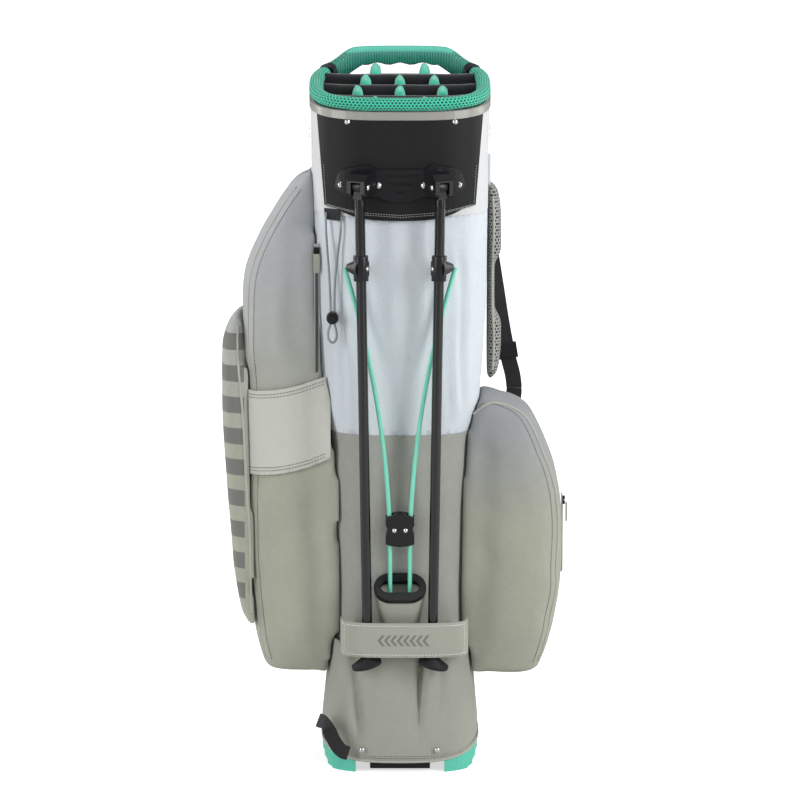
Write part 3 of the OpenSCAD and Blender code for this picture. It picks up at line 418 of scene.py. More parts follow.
def ribbed_material(name, painted_highlight_colour, colour):
    """Moulded grip with upright ribs, from UV in metres. Its paler top band is a painted highlight; the face
    below is darker, partly its own colour and partly painted shade, and its rib valleys carry painted shade.
    """
    material, tree, shader, place, uv = start_material(name, 0.45)
    split = tree.nodes.new("ShaderNodeSeparateXYZ")
    put(tree, uv, split.inputs[0])
    level = tree.nodes.new("ShaderNodeSeparateXYZ")
    put(tree, place, level.inputs[0])
    rib = maths(tree, "SINE", maths(tree, "MULTIPLY", split.outputs[0], 2 * math.pi / 0.0034))
    # Mask of the paler top band along the grip's crest: a painted highlight
    line = maths(tree, "MULTIPLY_ADD", level.outputs[1], -0.20, level.outputs[2])
    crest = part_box(GRIP)[1][2] - 0.2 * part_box(GRIP)[1][1]
    top = ramp(tree, line, crest - 0.0045, crest - 0.0015)
    ribs = maths(tree, "MULTIPLY", rib, maths(tree, "SUBTRACT", 1.0, top))
    # Rib valleys painted 40% darker: painted shade between the ribs
    shade = mixed(tree, ramp(tree, ribs, -0.5, 0.7), rgba(colour, 0.60), rgba(colour))
    soiled = effect(tree, "Soil", Vector=place, Color=mixed(tree, top, shade, rgba(painted_highlight_colour)), Amount=0.05,
                    Roughness=0.45)
    put(tree, soiled.outputs["Color"], shader.inputs["Base Color"])
    put(tree, soiled.outputs["Roughness"], shader.inputs["Roughness"])
    bumped(tree, shader, ribs, 0.8, 0.0006)
    return material


def fleece_material(name, colour):
    """Short-napped lining of the dividers."""
    material, tree, shader, place, _ = start_material(
        name, 0.9, Sheen_Weight=0.35, Sheen_Roughness=0.5, Specular_IOR_Level=0.2)
    nap = noise_value(tree, place, 1400.0, detail=4.0)
    soiled = effect(tree, "Soil", Vector=place, Color=rgba(colour), Amount=0.14, Scale=30.0, Roughness=0.9)
    put(tree, vector_maths(tree, "SCALE", soiled.outputs["Color"],
                           scale=maths(tree, "MULTIPLY_ADD", nap, 0.5, 0.75)), shader.inputs["Base Color"])
    put(tree, soiled.outputs["Roughness"], shader.inputs["Roughness"])
    bumped(tree, shader, nap, 0.6, 0.0008)
    return material


def webbing_material(name, colour):
    """Ribbed woven tape."""
    material, tree, shader, place, uv = start_material(
        name, 0.7, Sheen_Weight=0.1, Sheen_Roughness=0.4, Specular_IOR_Level=0.35)
    twill = effect(tree, "Twill", Vector=uv, Pitch=0.0024)
    soiled = effect(tree, "Soil", Vector=place, Color=rgba(colour), Amount=0.15, Scale=30.0, Roughness=0.7)
    put(tree, vector_maths(tree, "SCALE", soiled.outputs["Color"],
                           scale=maths(tree, "MULTIPLY_ADD", twill.outputs["Yarn"], 0.9, 0.6)),
        shader.inputs["Base Color"])
    put(tree, soiled.outputs["Roughness"], shader.inputs["Roughness"])
    bumped(tree, shader, twill.outputs["Height"], 0.7, 0.0006)
    return material


def metal_material(name, colour, roughness, metallic=1.0, **constants):
    """Plated steel, or painted tube where metallic is low."""
    material, tree, shader, place, _ = start_material(name, roughness, Metallic=metallic, **constants)
    soiled = effect(tree, "Soil", Vector=place, Color=rgba(colour), Amount=0.08, Scale=60.0,
                    Roughness=roughness)
    put(tree, soiled.outputs["Color"], shader.inputs["Base Color"])
    put(tree, soiled.outputs["Roughness"], shader.inputs["Roughness"])
    scratches = noise_value(tree, place, 700.0, detail=2.0)
    bumped(tree, shader, scratches, 0.05, 0.0002)
    return material


def printed(material, mask, colour):
    """Prints a colour over a material where mask, a function of its tree and object position, is 1."""
    tree = material.node_tree
    shader = tree.nodes["Principled BSDF"]
    before = shader.inputs["Base Color"].links[0].from_socket
    place = next(n for n in tree.nodes if n.bl_idname == "ShaderNodeTexCoord").outputs["Object"]
    split = tree.nodes.new("ShaderNodeSeparateXYZ")
    put(tree, place, split.inputs[0])
    put(tree, mixed(tree, mask(tree, split.outputs), before, rgba(colour)), shader.inputs["Base Color"])
    return material


def within(tree, value, low, high, edge=0.0006):
    """1 where value is between low and high."""
    rise = ramp(tree, value, low - edge, low + edge)
    return maths(tree, "MULTIPLY", rise, ramp(tree, value, high - edge, high + edge, 1.0, 0.0))


def striped(tree, value, low, high, pitch, share):
    """Even bars from low to high: 1 on the first share of each pitch."""
    cell = maths(tree, "FRACT", maths(tree, "DIVIDE", maths(tree, "SUBTRACT", value, low), pitch))
    return maths(tree, "MULTIPLY", within(tree, cell, 0.04, share, 0.02), within(tree, value, low, high))


def make_materials():
    """Every cloth, plastic and metal of the bag."""
    c = colours()
    lowest_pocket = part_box("left_pocket")[0][2]
    # Heights over which the pockets' painted reflection at the top fades into their own colour below
    painted_reflection_fade = (lowest_pocket + 0.28, lowest_pocket + 0.62)
    right_painted_reflection_fade = (lowest_pocket + 0.20, lowest_pocket + 0.36)
    grain_material("mint plastic", c.mint, 0.42, scale=1200.0, bump=0.10, soil=0.05, Specular_IOR_Level=0.5)
    # Rim mesh holes painted near-black green: painted shade
    mesh_material("mint mesh", c.mint_mesh, (0.002, 0.045, 0.032), pitch=0.0047, size=0.32)
    fleece_material("mint lining", (0.060, 0.470, 0.330))
    fleece_material("black lining", (0.010, 0.010, 0.012))
    twill_material("ice twill", c.ice, pitch=0.0036, soil=0.05)
    twill_material("sage twill", c.sage_dark, pitch=0.0036, soil=0.10)
    twill_material("pocket cloth", c.pocket_top_with_painted_reflection, c.pocket_low, painted_reflection_fade)
    # The right pocket is the same cloth painted darker all over, as painted shade, with its painted
    # reflection fading out lower
    twill_material("right pocket cloth", rgba(c.pocket_top_with_painted_reflection, 0.70), rgba(c.pocket_low, 0.94), right_painted_reflection_fade)
    twill_material("collar cloth", c.collar, pitch=0.0018, soil=0.04)
    ribbed_material("lift handle", c.mint, c.grip)
    outer_low, outer_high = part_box("left_outer_pocket")
    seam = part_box("left_pocket")[0][0] - 0.002

    def pocket_bars(tree, place):
        """Level bars on the outer pocket, clear of its seams."""
        bars = striped(tree, place[2], outer_low[2] + 0.035, outer_high[2] - 0.03, pitch=0.040, share=0.56)
        bars = maths(tree, "MULTIPLY", bars, within(tree, place[0], -1.0, seam))
        return maths(tree, "MULTIPLY", bars, within(tree, place[1], -1.0, outer_high[1] - 0.012))

    # The outer pocket has the same painted reflection at its top, under its printed bars
    printed(twill_material("outer pocket cloth", c.pocket_top_with_painted_reflection, c.pocket_low, painted_reflection_fade), pocket_bars, c.printing)
    twill_material("band cloth", c.band, pitch=0.0015, soil=0.07)
    twill_material("cuff cloth", c.cuff, pitch=0.0015, soil=0.05)
    lock_low, lock_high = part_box("leg_lock_band")
    middle = (Vector(lock_low) + Vector(lock_high)) / 2

    def lock_chevrons(tree, place):
        """A row of chevrons in the middle of the leg lock's band."""
        rise = maths(tree, "ABSOLUTE", maths(tree, "SUBTRACT", place[2], middle.z))
        slanted = maths(tree, "ADD", place[0], maths(tree, "MULTIPLY", rise, -0.8))
        row = striped(tree, slanted, middle.x - 0.034, middle.x + 0.030, pitch=0.008, share=0.5)
        return maths(tree, "MULTIPLY", row, within(tree, place[2], lock_low[2] + 0.015, lock_high[2] - 0.015))

    lock_cloth = twill_material("lock cloth", c.band, pitch=0.0013, soil=0.06, bump=0.3)
    printed(lock_cloth, lock_chevrons, c.printing)
    grain_material("black vinyl", c.vinyl, 0.52, scale=1000.0, bump=0.6, Specular_IOR_Level=0.2)
    grain_material("silver vinyl", c.silver, 0.42, scale=1300.0, bump=0.20, soil=0.06, Metallic=0.35)
    grain_material("black plastic", c.plastic, 0.34, scale=1600.0, bump=0.12, Specular_IOR_Level=0.35)
    grain_material("black rubber", (0.007, 0.007, 0.008), 0.55, scale=1500.0, bump=0.25,
                   Specular_IOR_Level=0.3)
    webbing_material("webbing", c.webbing)
    # Pad mesh holes painted near-black: painted shade
    mesh_material("pad mesh", (0.330, 0.340, 0.310), (0.030, 0.031, 0.031), pitch=0.0047, size=0.35)
    metal_material("bright steel", (0.60, 0.61, 0.62), 0.2)
    metal_material("leg paint", c.leg, 0.18, metallic=0.0, Specular_IOR_Level=0.45, Coat_Weight=0.35,
                   Coat_Roughness=0.04)
    metal_material("rod paint", c.rod, 0.34, metallic=0.0, Coat_Weight=0.25, Coat_Roughness=0.2)
    metal_material("stay rod", (0.72, 0.71, 0.66), 0.4, metallic=0.0)
    grain_material("piping", (0.330, 0.330, 0.290), 0.6, scale=1400.0, bump=0.2)
    grain_material("black piping", (0.012, 0.012, 0.013), 0.55, scale=1400.0, bump=0.2)
    webbing_material("thread", c.thread)
    webbing_material("patch thread", rgba(c.thread, 0.45))
    webbing_material("dark thread", (0.120, 0.125, 0.110))
    webbing_material("braid", (0.330, 0.350, 0.360))


NODE_MATERIALS = {
    "mint plastic": ("base_cup",),
    "bright steel": ("dome_rivets", "side_screws", "leg_hinge_pins", "actuator_pin", "left_collar_screw",
                     "right_collar_screw", "clamp_rivets"),
    "black plastic": ("collar_shell", "rim_end_caps", "stand_plate", "rod_port_bezel", "actuator_foot",
                      "left_leg_plug", "right_leg_plug", "left_leg_collar", "right_leg_collar", "rod_clamp",
                      "toggle_barrel", "toggle_button", "strap_slider", "left_zip_slider",
                      "right_zip_slider"),
    "black rubber": ("left_leg_foot", "right_leg_foot"),
    "leg paint": ("left_leg_tube", "right_leg_tube"),
    "rod paint": ("lower_tie_rods", "left_tie_rod", "right_tie_rod"),
    "stay rod": ("stay_rods",),
    "black vinyl": ("front_patch",),
    "silver vinyl": ("rim_trim",),
    "webbing": ("umbrella_tab", "right_zip_pull"),
    "pocket cloth": ("left_zip", "right_zip"),
    "collar cloth": ("collar_wrap",),
    "ice twill": ("strap_anchors",),
    "band cloth": ("rod_port_cup", "left_zip_pull"),
}
BEVELLED = ("stand_plate", "rod_clamp", "rod_port_bezel", "toggle_barrel", "strap_slider", "base_cup",
            "left_leg_collar", "right_leg_collar", "actuator_foot", "left_leg_plug", "right_leg_plug")


# ---------- making pieces ----------


def show(name, mesh, material, body="root", replaced=(), slot=None, smooth=True):
    """Makes an object of a mesh, and ties it to the frame."""
    obj = bpy.data.objects.new(name, mesh)
    bpy.context.scene.collection.objects.link(obj)
    mesh.materials.clear()
    mesh.materials.append(MATERIALS[material])
    if smooth:
        mesh.shade_smooth()
    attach(obj, body)
    if replaced:
        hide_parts(*replaced)
    return obj


def piece(name, bm, material, sharp=None, **options):
    """Makes an object of a bmesh. sharp is the angle over which an edge stays hard."""
    mesh = bpy.data.meshes.new(name)
    bm.to_mesh(mesh)
    bm.free()
    obj = show(name, mesh, material, **options)
    if sharp:
        mesh.set_sharp_from_angle(angle=math.radians(sharp))
    return obj


def node_bmesh(node):
    """A merged copy of a frame node's mesh."""
    bm = bmesh.new()
    bm.from_mesh(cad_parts[node].data)
    bmesh.ops.remove_doubles(bm, verts=bm.verts, dist=0.02 * MM)
    return bm


def slice_mesh(bm, axis, step):
    """Cuts a bmesh into slices across an axis, so that it can bend."""
    values = [v.co.dot(axis) for v in bm.verts]
    count = int((max(values) - min(values)) / step)
    for i in range(1, count + 1):
        where = min(values) + (max(values) - min(values)) * i / (count + 1)
        everything = bm.verts[:] + bm.edges[:] + bm.faces[:]
        bmesh.ops.bisect_plane(bm, geom=everything, dist=0.0001 * MM, plane_co=axis * where, plane_no=axis)


def box_uv(mesh):
    """UVs in metres, projected along each face's main direction."""
    layer = mesh.uv_layers.get("UVMap") or mesh.uv_layers.new(name="UVMap")
    for face in mesh.polygons:
        n = face.normal
        flat = abs(n.z) > max(abs(n.x), abs(n.y))
        for loop in face.loop_indices:
            co = mesh.vertices[mesh.loops[loop].vertex_index].co
            if flat:
                layer.data[loop].uv = (co.x, co.y)
            elif abs(n.x) > abs(n.y):
                layer.data[loop].uv = (co.y * math.copysign(1, n.x), co.z)
            else:
                layer.data[loop].uv = (-co.x * math.copysign(1, n.y), co.z)


def unrolled_uv(mesh, radius, centre=AXIS):
    """UVs in metres: along the way round the axis, and up."""
    layer = mesh.uv_layers.get("UVMap") or mesh.uv_layers.new(name="UVMap")
    for face in mesh.polygons:
        first = None
        for loop in face.loop_indices:
            co = mesh.vertices[mesh.loops[loop].vertex_index].co - centre
            angle = math.atan2(co.y, co.x)
            if first is None:
                first = angle
            angle += 2 * math.pi * round((first - angle) / (2 * math.pi))
            layer.data[loop].uv = (angle * radius, co.z)


def ripple(co, scale, seed=0.0):
    """Smooth noise between -1 and 1."""
    return noise.noise(Vector((co.x + seed, co.y - seed, co.z + seed)) * scale)


def run_through(curve, points, tilts=None, cyclic=False):
    """Adds a smooth spline through points to a curve, twisted by tilts in radians."""
    curve.dimensions = "3D"
    curve.use_fill_caps = True
    spline = curve.splines.new("BEZIER")
    spline.bezier_points.add(len(points) - 1)
    for i, (knot, point) in enumerate(zip(spline.bezier_points, points)):
        knot.co = point
        knot.handle_left_type = knot.handle_right_type = "AUTO"
        knot.tilt = tilts[i] if tilts else 0.0
    spline.use_cyclic_u = cyclic


def curve_bmesh(name, curve):
    """The surface of a curve as a closed bmesh. The curve's helper object is removed."""
    helper = bpy.data.objects.new(name, curve)
    bpy.context.scene.collection.objects.link(helper)
    mesh = bpy.data.meshes.new_from_object(helper.evaluated_get(bpy.context.evaluated_depsgraph_get()))
    bpy.data.objects.remove(helper)
    bm = bmesh.new()
    bm.from_mesh(mesh)
    bpy.data.meshes.remove(mesh)
    bmesh.ops.remove_doubles(bm, verts=bm.verts, dist=0.001 * MM)
    bmesh.ops.recalc_face_normals(bm, faces=bm.faces)
    return bm


def tube(name, points, radius, material, cyclic=False, **options):
    """A round bead along points, as a mesh."""
    curve = bpy.data.curves.new(name, "CURVE")
    curve.bevel_depth = radius
    curve.bevel_resolution = 3
    curve.resolution_u = 4
    run_through(curve, points, cyclic=cyclic)
    obj = piece(name, curve_bmesh(name, curve), material, **options)
    box_uv(obj.data)
    return obj


def ribbon(name, points, width, thickness, material, tilts, **options):
    """A flat tape along points, twisted by tilts in radians."""
    profile = bpy.data.curves.new(name, "CURVE")
    profile.dimensions = "2D"
    outline = profile.splines.new("POLY")
    outline.points.add(5)
    w, t = width / 2, thickness / 2
    inner = w * 0.96
    corners = ((-w, 0), (-inner, t), (inner, t), (w, 0), (inner, -t), (-inner, -t))
    for knot, (x, y) in zip(outline.points, corners):
        knot.co = (x, y, 0, 1)
    outline.use_cyclic_u = True
    profile_object = bpy.data.objects.new(name, profile)
    curve = bpy.data.curves.new(name, "CURVE")
    curve.bevel_mode = "OBJECT"
    curve.bevel_object = profile_object
    curve.resolution_u = 8
    curve.twist_mode = "Z_UP"
    run_through(curve, points, tilts)
    bm = curve_bmesh(name, curve)
    bpy.data.objects.remove(profile_object)
    obj = piece(name, bm, material, sharp=50, **options)
    box_uv(obj.data)
    return obj


def along(points, pitch, cyclic=False):
    """(point, direction) at an even pitch along a line of points."""
    line = list(points) + ([points[0]] if cyclic else [])
    found, carry = [], 0.0
    for a, b in zip(line, line[1:]):
        step = b - a
        length = step.length
        if length < 1e-9:
            continue
        while carry < length:
            found.append((a + step * (carry / length), step / length))
            carry += pitch
        carry -= length
    return found


STITCH_SHARE = 0.68         # of the pitch that the thread covers


def stitches(name, rows, material, body="root", pitch=None, cyclic=False):
    """Rows of short rounded stitches. Each row is a line of points on a surface."""
    pitch = pitch or sizes().stitch_pitch
    radius = sizes().thread_radius
    bm = bmesh.new()
    for row in rows:
        for point, direction in along(row, pitch, cyclic):
            turn = direction.to_track_quat("Z", "Y").to_matrix().to_4x4()
            bmesh.ops.create_cone(
                bm, cap_ends=True, segments=6, radius1=radius, radius2=radius, depth=pitch * STITCH_SHARE,
                matrix=Matrix.Translation(point) @ turn)
    return piece(name, bm, material, body=body)


def surface_of(*objects):
    """A tree of the shown surface of some objects or frame nodes, for shooting rays at."""
    bm = bmesh.new()
    for obj in objects:
        bm.from_mesh(obj.data)
    tree = BVHTree.FromBMesh(bm)
    bm.free()
    return tree


def hit(tree, start, direction, lift=0.0):
    """The first point of a surface along a ray, raised by lift, or None."""
    place, normal, _, _ = tree.ray_cast(start, direction)
    if place is None:
        return None
    if normal.dot(direction) > 0:
        normal = -normal
    return place + normal * lift


def front_line(tree, outline, lift=0.0):
    """Drops points given as (x, z) in millimetres onto the front of a surface."""
    found = [hit(tree, at(x, -400, z), Vector((0, 1, 0)), lift) for x, z in outline]
    return [p for p in found if p is not None]


def resampled(outline, pitch):
    """An outline of (x, z) points, made dense."""
    dense = []
    for (x0, z0), (x1, z1) in zip(outline, outline[1:]):
        count = max(1, int(math.hypot(x1 - x0, z1 - z0) / pitch))
        dense += [(x0 + (x1 - x0) * i / count, z0 + (z1 - z0) * i / count) for i in range(count)]
    return dense + [outline[-1]]


# ---------- cloth ----------


CLOTH_PRESSURE = 4.0
CLOTH_FRAMES = 20           # by which the cover has swollen
CLOTH_ROUNDS = 2            # of smoothing afterwards


def swell(obj, voxel, cap, hold=None):
    """Blows a closed cover up a little as cloth, and keeps each point within cap of where it was.

    hold gives, for a point, how much of the swelling it takes, from 0 to 1.
    """
    mesh = obj.data
    remesh = obj.modifiers.new("Remesh", "REMESH")
    remesh.mode = "VOXEL"
    remesh.voxel_size = voxel
    depsgraph = bpy.context.evaluated_depsgraph_get()
    solid = bpy.data.meshes.new_from_object(obj.evaluated_get(depsgraph))
    obj.modifiers.remove(remesh)
    obj.data = solid
    rest = [v.co.copy() for v in solid.vertices]
    cloth = obj.modifiers.new("Cloth", "CLOTH")
    cloth.settings.quality = 4
    cloth.settings.use_pressure = True
    cloth.settings.uniform_pressure_force = CLOTH_PRESSURE
    cloth.settings.effector_weights.gravity = 0
    cloth.settings.tension_stiffness = 18
    cloth.settings.compression_stiffness = 12
    cloth.settings.bending_stiffness = 0.8
    cloth.point_cache.frame_start = 1
    cloth.point_cache.frame_end = CLOTH_FRAMES
    scene = bpy.context.scene
    for number in range(1, CLOTH_FRAMES + 1):
        scene.frame_set(number)
    shaped = obj.evaluated_get(bpy.context.evaluated_depsgraph_get()).to_mesh()
    moved = [v.co.copy() for v in shaped.vertices]
    obj.modifiers.remove(cloth)
    scene.frame_set(1)
    for v, start, end in zip(solid.vertices, rest, moved):
        way = end - start
        limit = cap * (hold(start) if hold else 1.0)
        if way.length > limit:
            way = way * (limit / way.length) if limit > 0 else Vector()
        v.co = start + way
    bm = bmesh.new()
    bm.from_mesh(solid)
    for _ in range(CLOTH_ROUNDS):
        bmesh.ops.smooth_vert(bm, verts=bm.verts, factor=0.5, use_axis_x=True, use_axis_y=True,
                              use_axis_z=True)
    bm.to_mesh(solid)
    bm.free()
    bpy.data.meshes.remove(mesh)
    return solid


def crease(mesh, amount, scale, stretch, hold=None):
    """Moves a mesh along its normals by smooth noise, for slack in the cloth."""
    for v in mesh.vertices:
        co = Vector((v.co.x * stretch[0], v.co.y * stretch[1], v.co.z * stretch[2]))
        share = hold(v.co) if hold else 1.0
        v.co += v.normal * (amount * ripple(co, scale) * share)


def padded_piece(name, node, material, voxel, cap, shrink, wrinkle, wrinkle_scale,
                 stretch=(1, 1, 1), hold=None):
    """A stuffed piece swollen from a frame node's solid, which it replaces."""
    mesh = bpy.data.meshes.new(name)
    bm = node_bmesh(node)
    bm.to_mesh(mesh)
    bm.free()
    obj = bpy.data.objects.new(name, mesh)
    bpy.context.scene.collection.objects.link(obj)
    for v in mesh.vertices:
        v.co -= v.normal * shrink
    solid = swell(obj, voxel, cap, hold)
    crease(solid, wrinkle, wrinkle_scale, stretch, hold)
    box_uv(solid)
    solid.materials.clear()
    solid.materials.append(MATERIALS[material])
    solid.shade_smooth()
    modifier = obj.modifiers.new("Subdivision", "SUBSURF")
    modifier.levels = modifier.render_levels = 1
    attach(obj, "root")
    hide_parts(node)
    return obj


def spread(low, high, count):
    """Even numbers from low to high."""
    return [low + (high - low) * i / (count - 1) for i in range(count)]


EDGE_REACH = 6 * MM         # each way along the axis, to look for an edge's point


def edge_line(obj, axis, places, direction, lift=0.0):
    """At each place along an axis, the point of a mesh farthest in a direction, as a smooth line on it."""
    tries = [(v.co.dot(axis), v.co) for v in obj.data.vertices]
    found = []
    for place in places:
        near = [co for where, co in tries if abs(where - place) < EDGE_REACH]
        if near:
            point = max(near, key=lambda co: co.dot(direction)).copy()
            found.append(point + axis * (place - point.dot(axis)))
    return [p + direction * lift for p in settled(surface_of(obj), found)]


def eased(line):
    """A line of points made a little smoother, with its ends kept."""
    return line[:1] + [(a + b * 2 + c) / 4 for a, b, c in zip(line, line[1:], line[2:])] + line[-1:]


def settled(tree, line, rounds=10):
    """Smooths a line of points, and brings it back to the surface each time."""
    for _ in range(rounds):
        for _ in range(4):
            line = eased(line)
        line = [tree.find_nearest(p)[0] for p in line]
    return eased(line)


def outward(co):
    """Level direction from the tube's axis through a point."""
    way = Vector((co.x - AXIS.x, co.y - AXIS.y, 0))
    return way.normalized() if way.length > 1e-6 else FRONT


def lowest_line(obj, count):
    """The lowest outer point of a wall at each angle round the axis, as a smooth loop."""
    bins = [None] * count
    for v in obj.data.vertices:
        way = v.co - AXIS
        place = int((math.atan2(way.y, way.x) / (2 * math.pi)) % 1.0 * count) % count
        score = math.hypot(way.x, way.y) * 0.25 - v.co.z
        if bins[place] is None or score > bins[place][0]:
            bins[place] = (score, v.co.copy())
    points = [entry[1] for entry in bins if entry]
    for _ in range(2):
        after = points[1:] + points[:1]
        before = points[-1:] + points[:-1]
        points = [(a + b * 2 + c) / 4 for a, b, c in zip(before, points, after)]
    return points


def loose_wall(name, node, material, folds, slot, step=8.0):
    """A cloth wall of the tube with folds, made from the frame's wall.

    folds gives, for a point, how far it stands out, in metres.
    """
    bm = node_bmesh(node)
    for axis, size in ((Vector((1, 0, 0)), step), (Vector((0, 1, 0)), step * 1.25), (UP, step * 1.25)):
        slice_mesh(bm, axis, size * MM)
    for v in bm.verts:
        v.co += outward(v.co) * folds(v.co)
    obj = piece(name, bm, material, slot=slot, sharp=40, replaced=(node,))
    unrolled_uv(obj.data, 0.1)
    return obj


def fade_between(value, low, high):
    """0 below low and 1 above high, smooth between."""
    share = min(1.0, max(0.0, (value - low) / (high - low)))
    return share * share * (3 - 2 * share)


def bump_at(value, centre, width):
    """1 at the centre, falling smoothly to 0 over a width."""
    return math.exp(-((value - centre) / width) ** 2)


# ---------- operators ----------


class BAG_OT_camera(bpy.types.Operator):
    """Places the camera in front of the bag and a little above it, far off with a long lens"""
    bl_idname = "bag.camera"
    bl_label = "Camera"

    def execute(self, context):
        distance, rise, aim = 6.885, 1.7253, 0.4617
        data = bpy.data.cameras.new("Camera")
        data.lens, data.sensor_width, data.clip_end = 248.9, 36.0, 30.0
        camera = bpy.data.objects.new("Camera", data)
        camera.location = (AXIS.x, AXIS.y - distance, rise)
        way = Vector((AXIS.x, AXIS.y, aim)) - camera.location
        camera.rotation_euler = way.to_track_quat("-Z", "Y").to_euler()
        context.scene.collection.objects.link(camera)
        context.scene.camera = camera
        return {"FINISHED"}


# The cord's points in millimetres: down from the tab, through the toggle, round the loop and back
CORD_ROUTE = (
    (-74.5, -98, 715), (-73.5, -99, 706), (-73.6, -99.6, 695), (-75.2, -99.8, 680), (-77.2, -99.8, 664),
    (-79, -99.6, 648), (-80.6, -99.4, 632), (-81.4, -99, 616), (-81.6, -99, 604), (-81.6, -99, 594),
    (-81.6, -99, 584), (-81.2, -99, 575), (-79.4, -99, 568), (-78.8, -99, 561), (-80.6, -99, 555),
    (-84.2, -99, 552.6), (-87.8, -99, 555), (-89.6, -99, 561), (-89, -99, 568), (-86.8, -99, 575),
    (-86.4, -99, 584), (-86.4, -99, 594), (-86.5, -99, 604), (-87, -98.6, 616), (-87.8, -98, 632),
    (-88.8, -97, 648), (-90, -95.6, 664), (-91.2, -94, 680), (-92, -92.2, 695), (-92.2, -90, 706),
    (-91.6, -88, 715))


class BAG_OT_cord(bpy.types.Operator):
    """Hangs the elastic umbrella cord through its toggle"""
    bl_idname = "bag.cord"
    bl_label = "Umbrella cord"

    def execute(self, context):
        curve = bpy.data.curves.new("umbrella cord", "CURVE")
        curve.bevel_depth = 1.5 * MM
        curve.bevel_resolution = 4
        points = [at(*place) for place in CORD_ROUTE]
        run_through(curve, points)
        cord = bpy.data.objects.new("umbrella_cord_line", curve)
        context.scene.collection.objects.link(cord)
        curve.materials.append(MATERIALS["braid"])
        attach(cord, "root")
        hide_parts("umbrella_cord")
        return {"FINISHED"}


class BAG_OT_materials(bpy.types.Operator):
    """Makes the materials and gives every frame piece its own, with rounded edges on the mouldings"""
    bl_idname = "bag.materials"
    bl_label = "Materials"

    def execute(self, context):
        make_materials()
        for material, nodes in NODE_MATERIALS.items():
            for node in nodes:
                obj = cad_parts[node]
                for used in obj.material_slots:
                    used.material = MATERIALS[material]
                if not obj.material_slots:
                    obj.data.materials.append(MATERIALS[material])
        for node in BEVELLED:
            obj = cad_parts[node]
            weld = obj.modifiers.new("Weld", "WELD")
            weld.merge_threshold = 0.02 * MM
            bevel = obj.modifiers.new("Bevel", "BEVEL")
            bevel.width = 0.6 * MM
            bevel.segments = 2
            bevel.limit_method = "ANGLE"
            bevel.angle_limit = math.radians(40)
        return {"FINISHED"}


class BAG_OT_sleeve(bpy.types.Operator):
    """Dresses the tube: front panels, back panel and boot, with their folds and the boot's hem"""
    bl_idname = "bag.sleeve"
    bl_label = "Tube sleeve"

    def execute(self, context):
        low, high = node_box("upper_front_panel")

        def side_folds(co):
            """Vertical slack near the right edge of the front, deepest low down."""
            x = (co.x - AXIS.x) / MM
            level = fade_between(co.z, low.z, low.z + 0.05) * (1 - fade_between(co.z, high.z - 0.07, high.z))
            wave = math.sin((x + 5 * ripple(co, 9)) * 2 * math.pi / 19 + co.z * 7)
            near = bump_at(x, 66, 24) + 1.2 * bump_at(x, -76, 16)
            return MM * level * (1.6 * near * wave + 1.0 * ripple(Vector((co.x, co.y, co.z * 0.35)), 22))

        def low_folds(co):
            """Vertical slack of the lower front panel."""
            x = (co.x - AXIS.x) / MM
            wave = math.sin((x + 6 * ripple(co, 8, 3)) * 2 * math.pi / 27 + co.z * 4)
            level = 1 - fade_between(co.z, low.z - 0.04, low.z)
            return MM * level * (1.0 * wave * (0.35 + abs(ripple(co, 12, 7))) - 0.4)

        def back_folds(co):
            """Slack of the back panel."""
            level = 1 - fade_between(co.z, high.z - 0.05, high.z)
            return MM * level * 1.3 * ripple(Vector((co.x, co.y, co.z * 0.3)), 18, 5)

        loose_wall("front_panel_ice", "upper_front_panel", "ice twill", side_folds, "ice_twill")
        loose_wall("front_panel_sage", "lower_front_panel", "sage twill", low_folds, "sage_twill")
        loose_wall("back_panel_cloth", "back_panel", "ice twill", back_folds, "ice_twill", step=10)

        low, high = node_box("boot")

        def boot_folds(co):
            """Long soft folds down the boot, one deep one right of the middle."""
            x = (co.x - AXIS.x) / MM
            if co.y > AXIS.y:
                return MM * 1.2 * ripple(Vector((co.x, co.y, co.z * 0.3)), 16)
            level = fade_between(co.z, low.z + 0.012, low.z + 0.06)
            upper = fade_between(co.z, low.z + 0.03, high.z)
            deep = -19.0 * bump_at(x, 24 + 4 * upper, 4.5) + 2.0 * bump_at(x, 37, 6) - 4.5 * bump_at(x, 54, 5)
            left = -8.0 * bump_at(x, -54 - 6 * upper, 6) + 1.4 * bump_at(x, -20, 16)
            return MM * level * (deep * (0.3 + 0.7 * upper) + left + 0.8 * ripple(co, 20))

        boot = loose_wall("boot_cloth", "boot", "band cloth", boot_folds, "band_cloth", step=5)
        hem = lowest_line(boot, 96)
        tube("boot_hem_piping", hem, 1.5 * MM, "piping", cyclic=True, slot="band_cloth")
        rows = [[p + UP * rise * MM + outward(p) * 0.5 * MM for p in hem] for rise in (4.5, 7.0)]
        stitches("boot_hem_stitches", rows, "dark thread", cyclic=True)
        return {"FINISHED"}


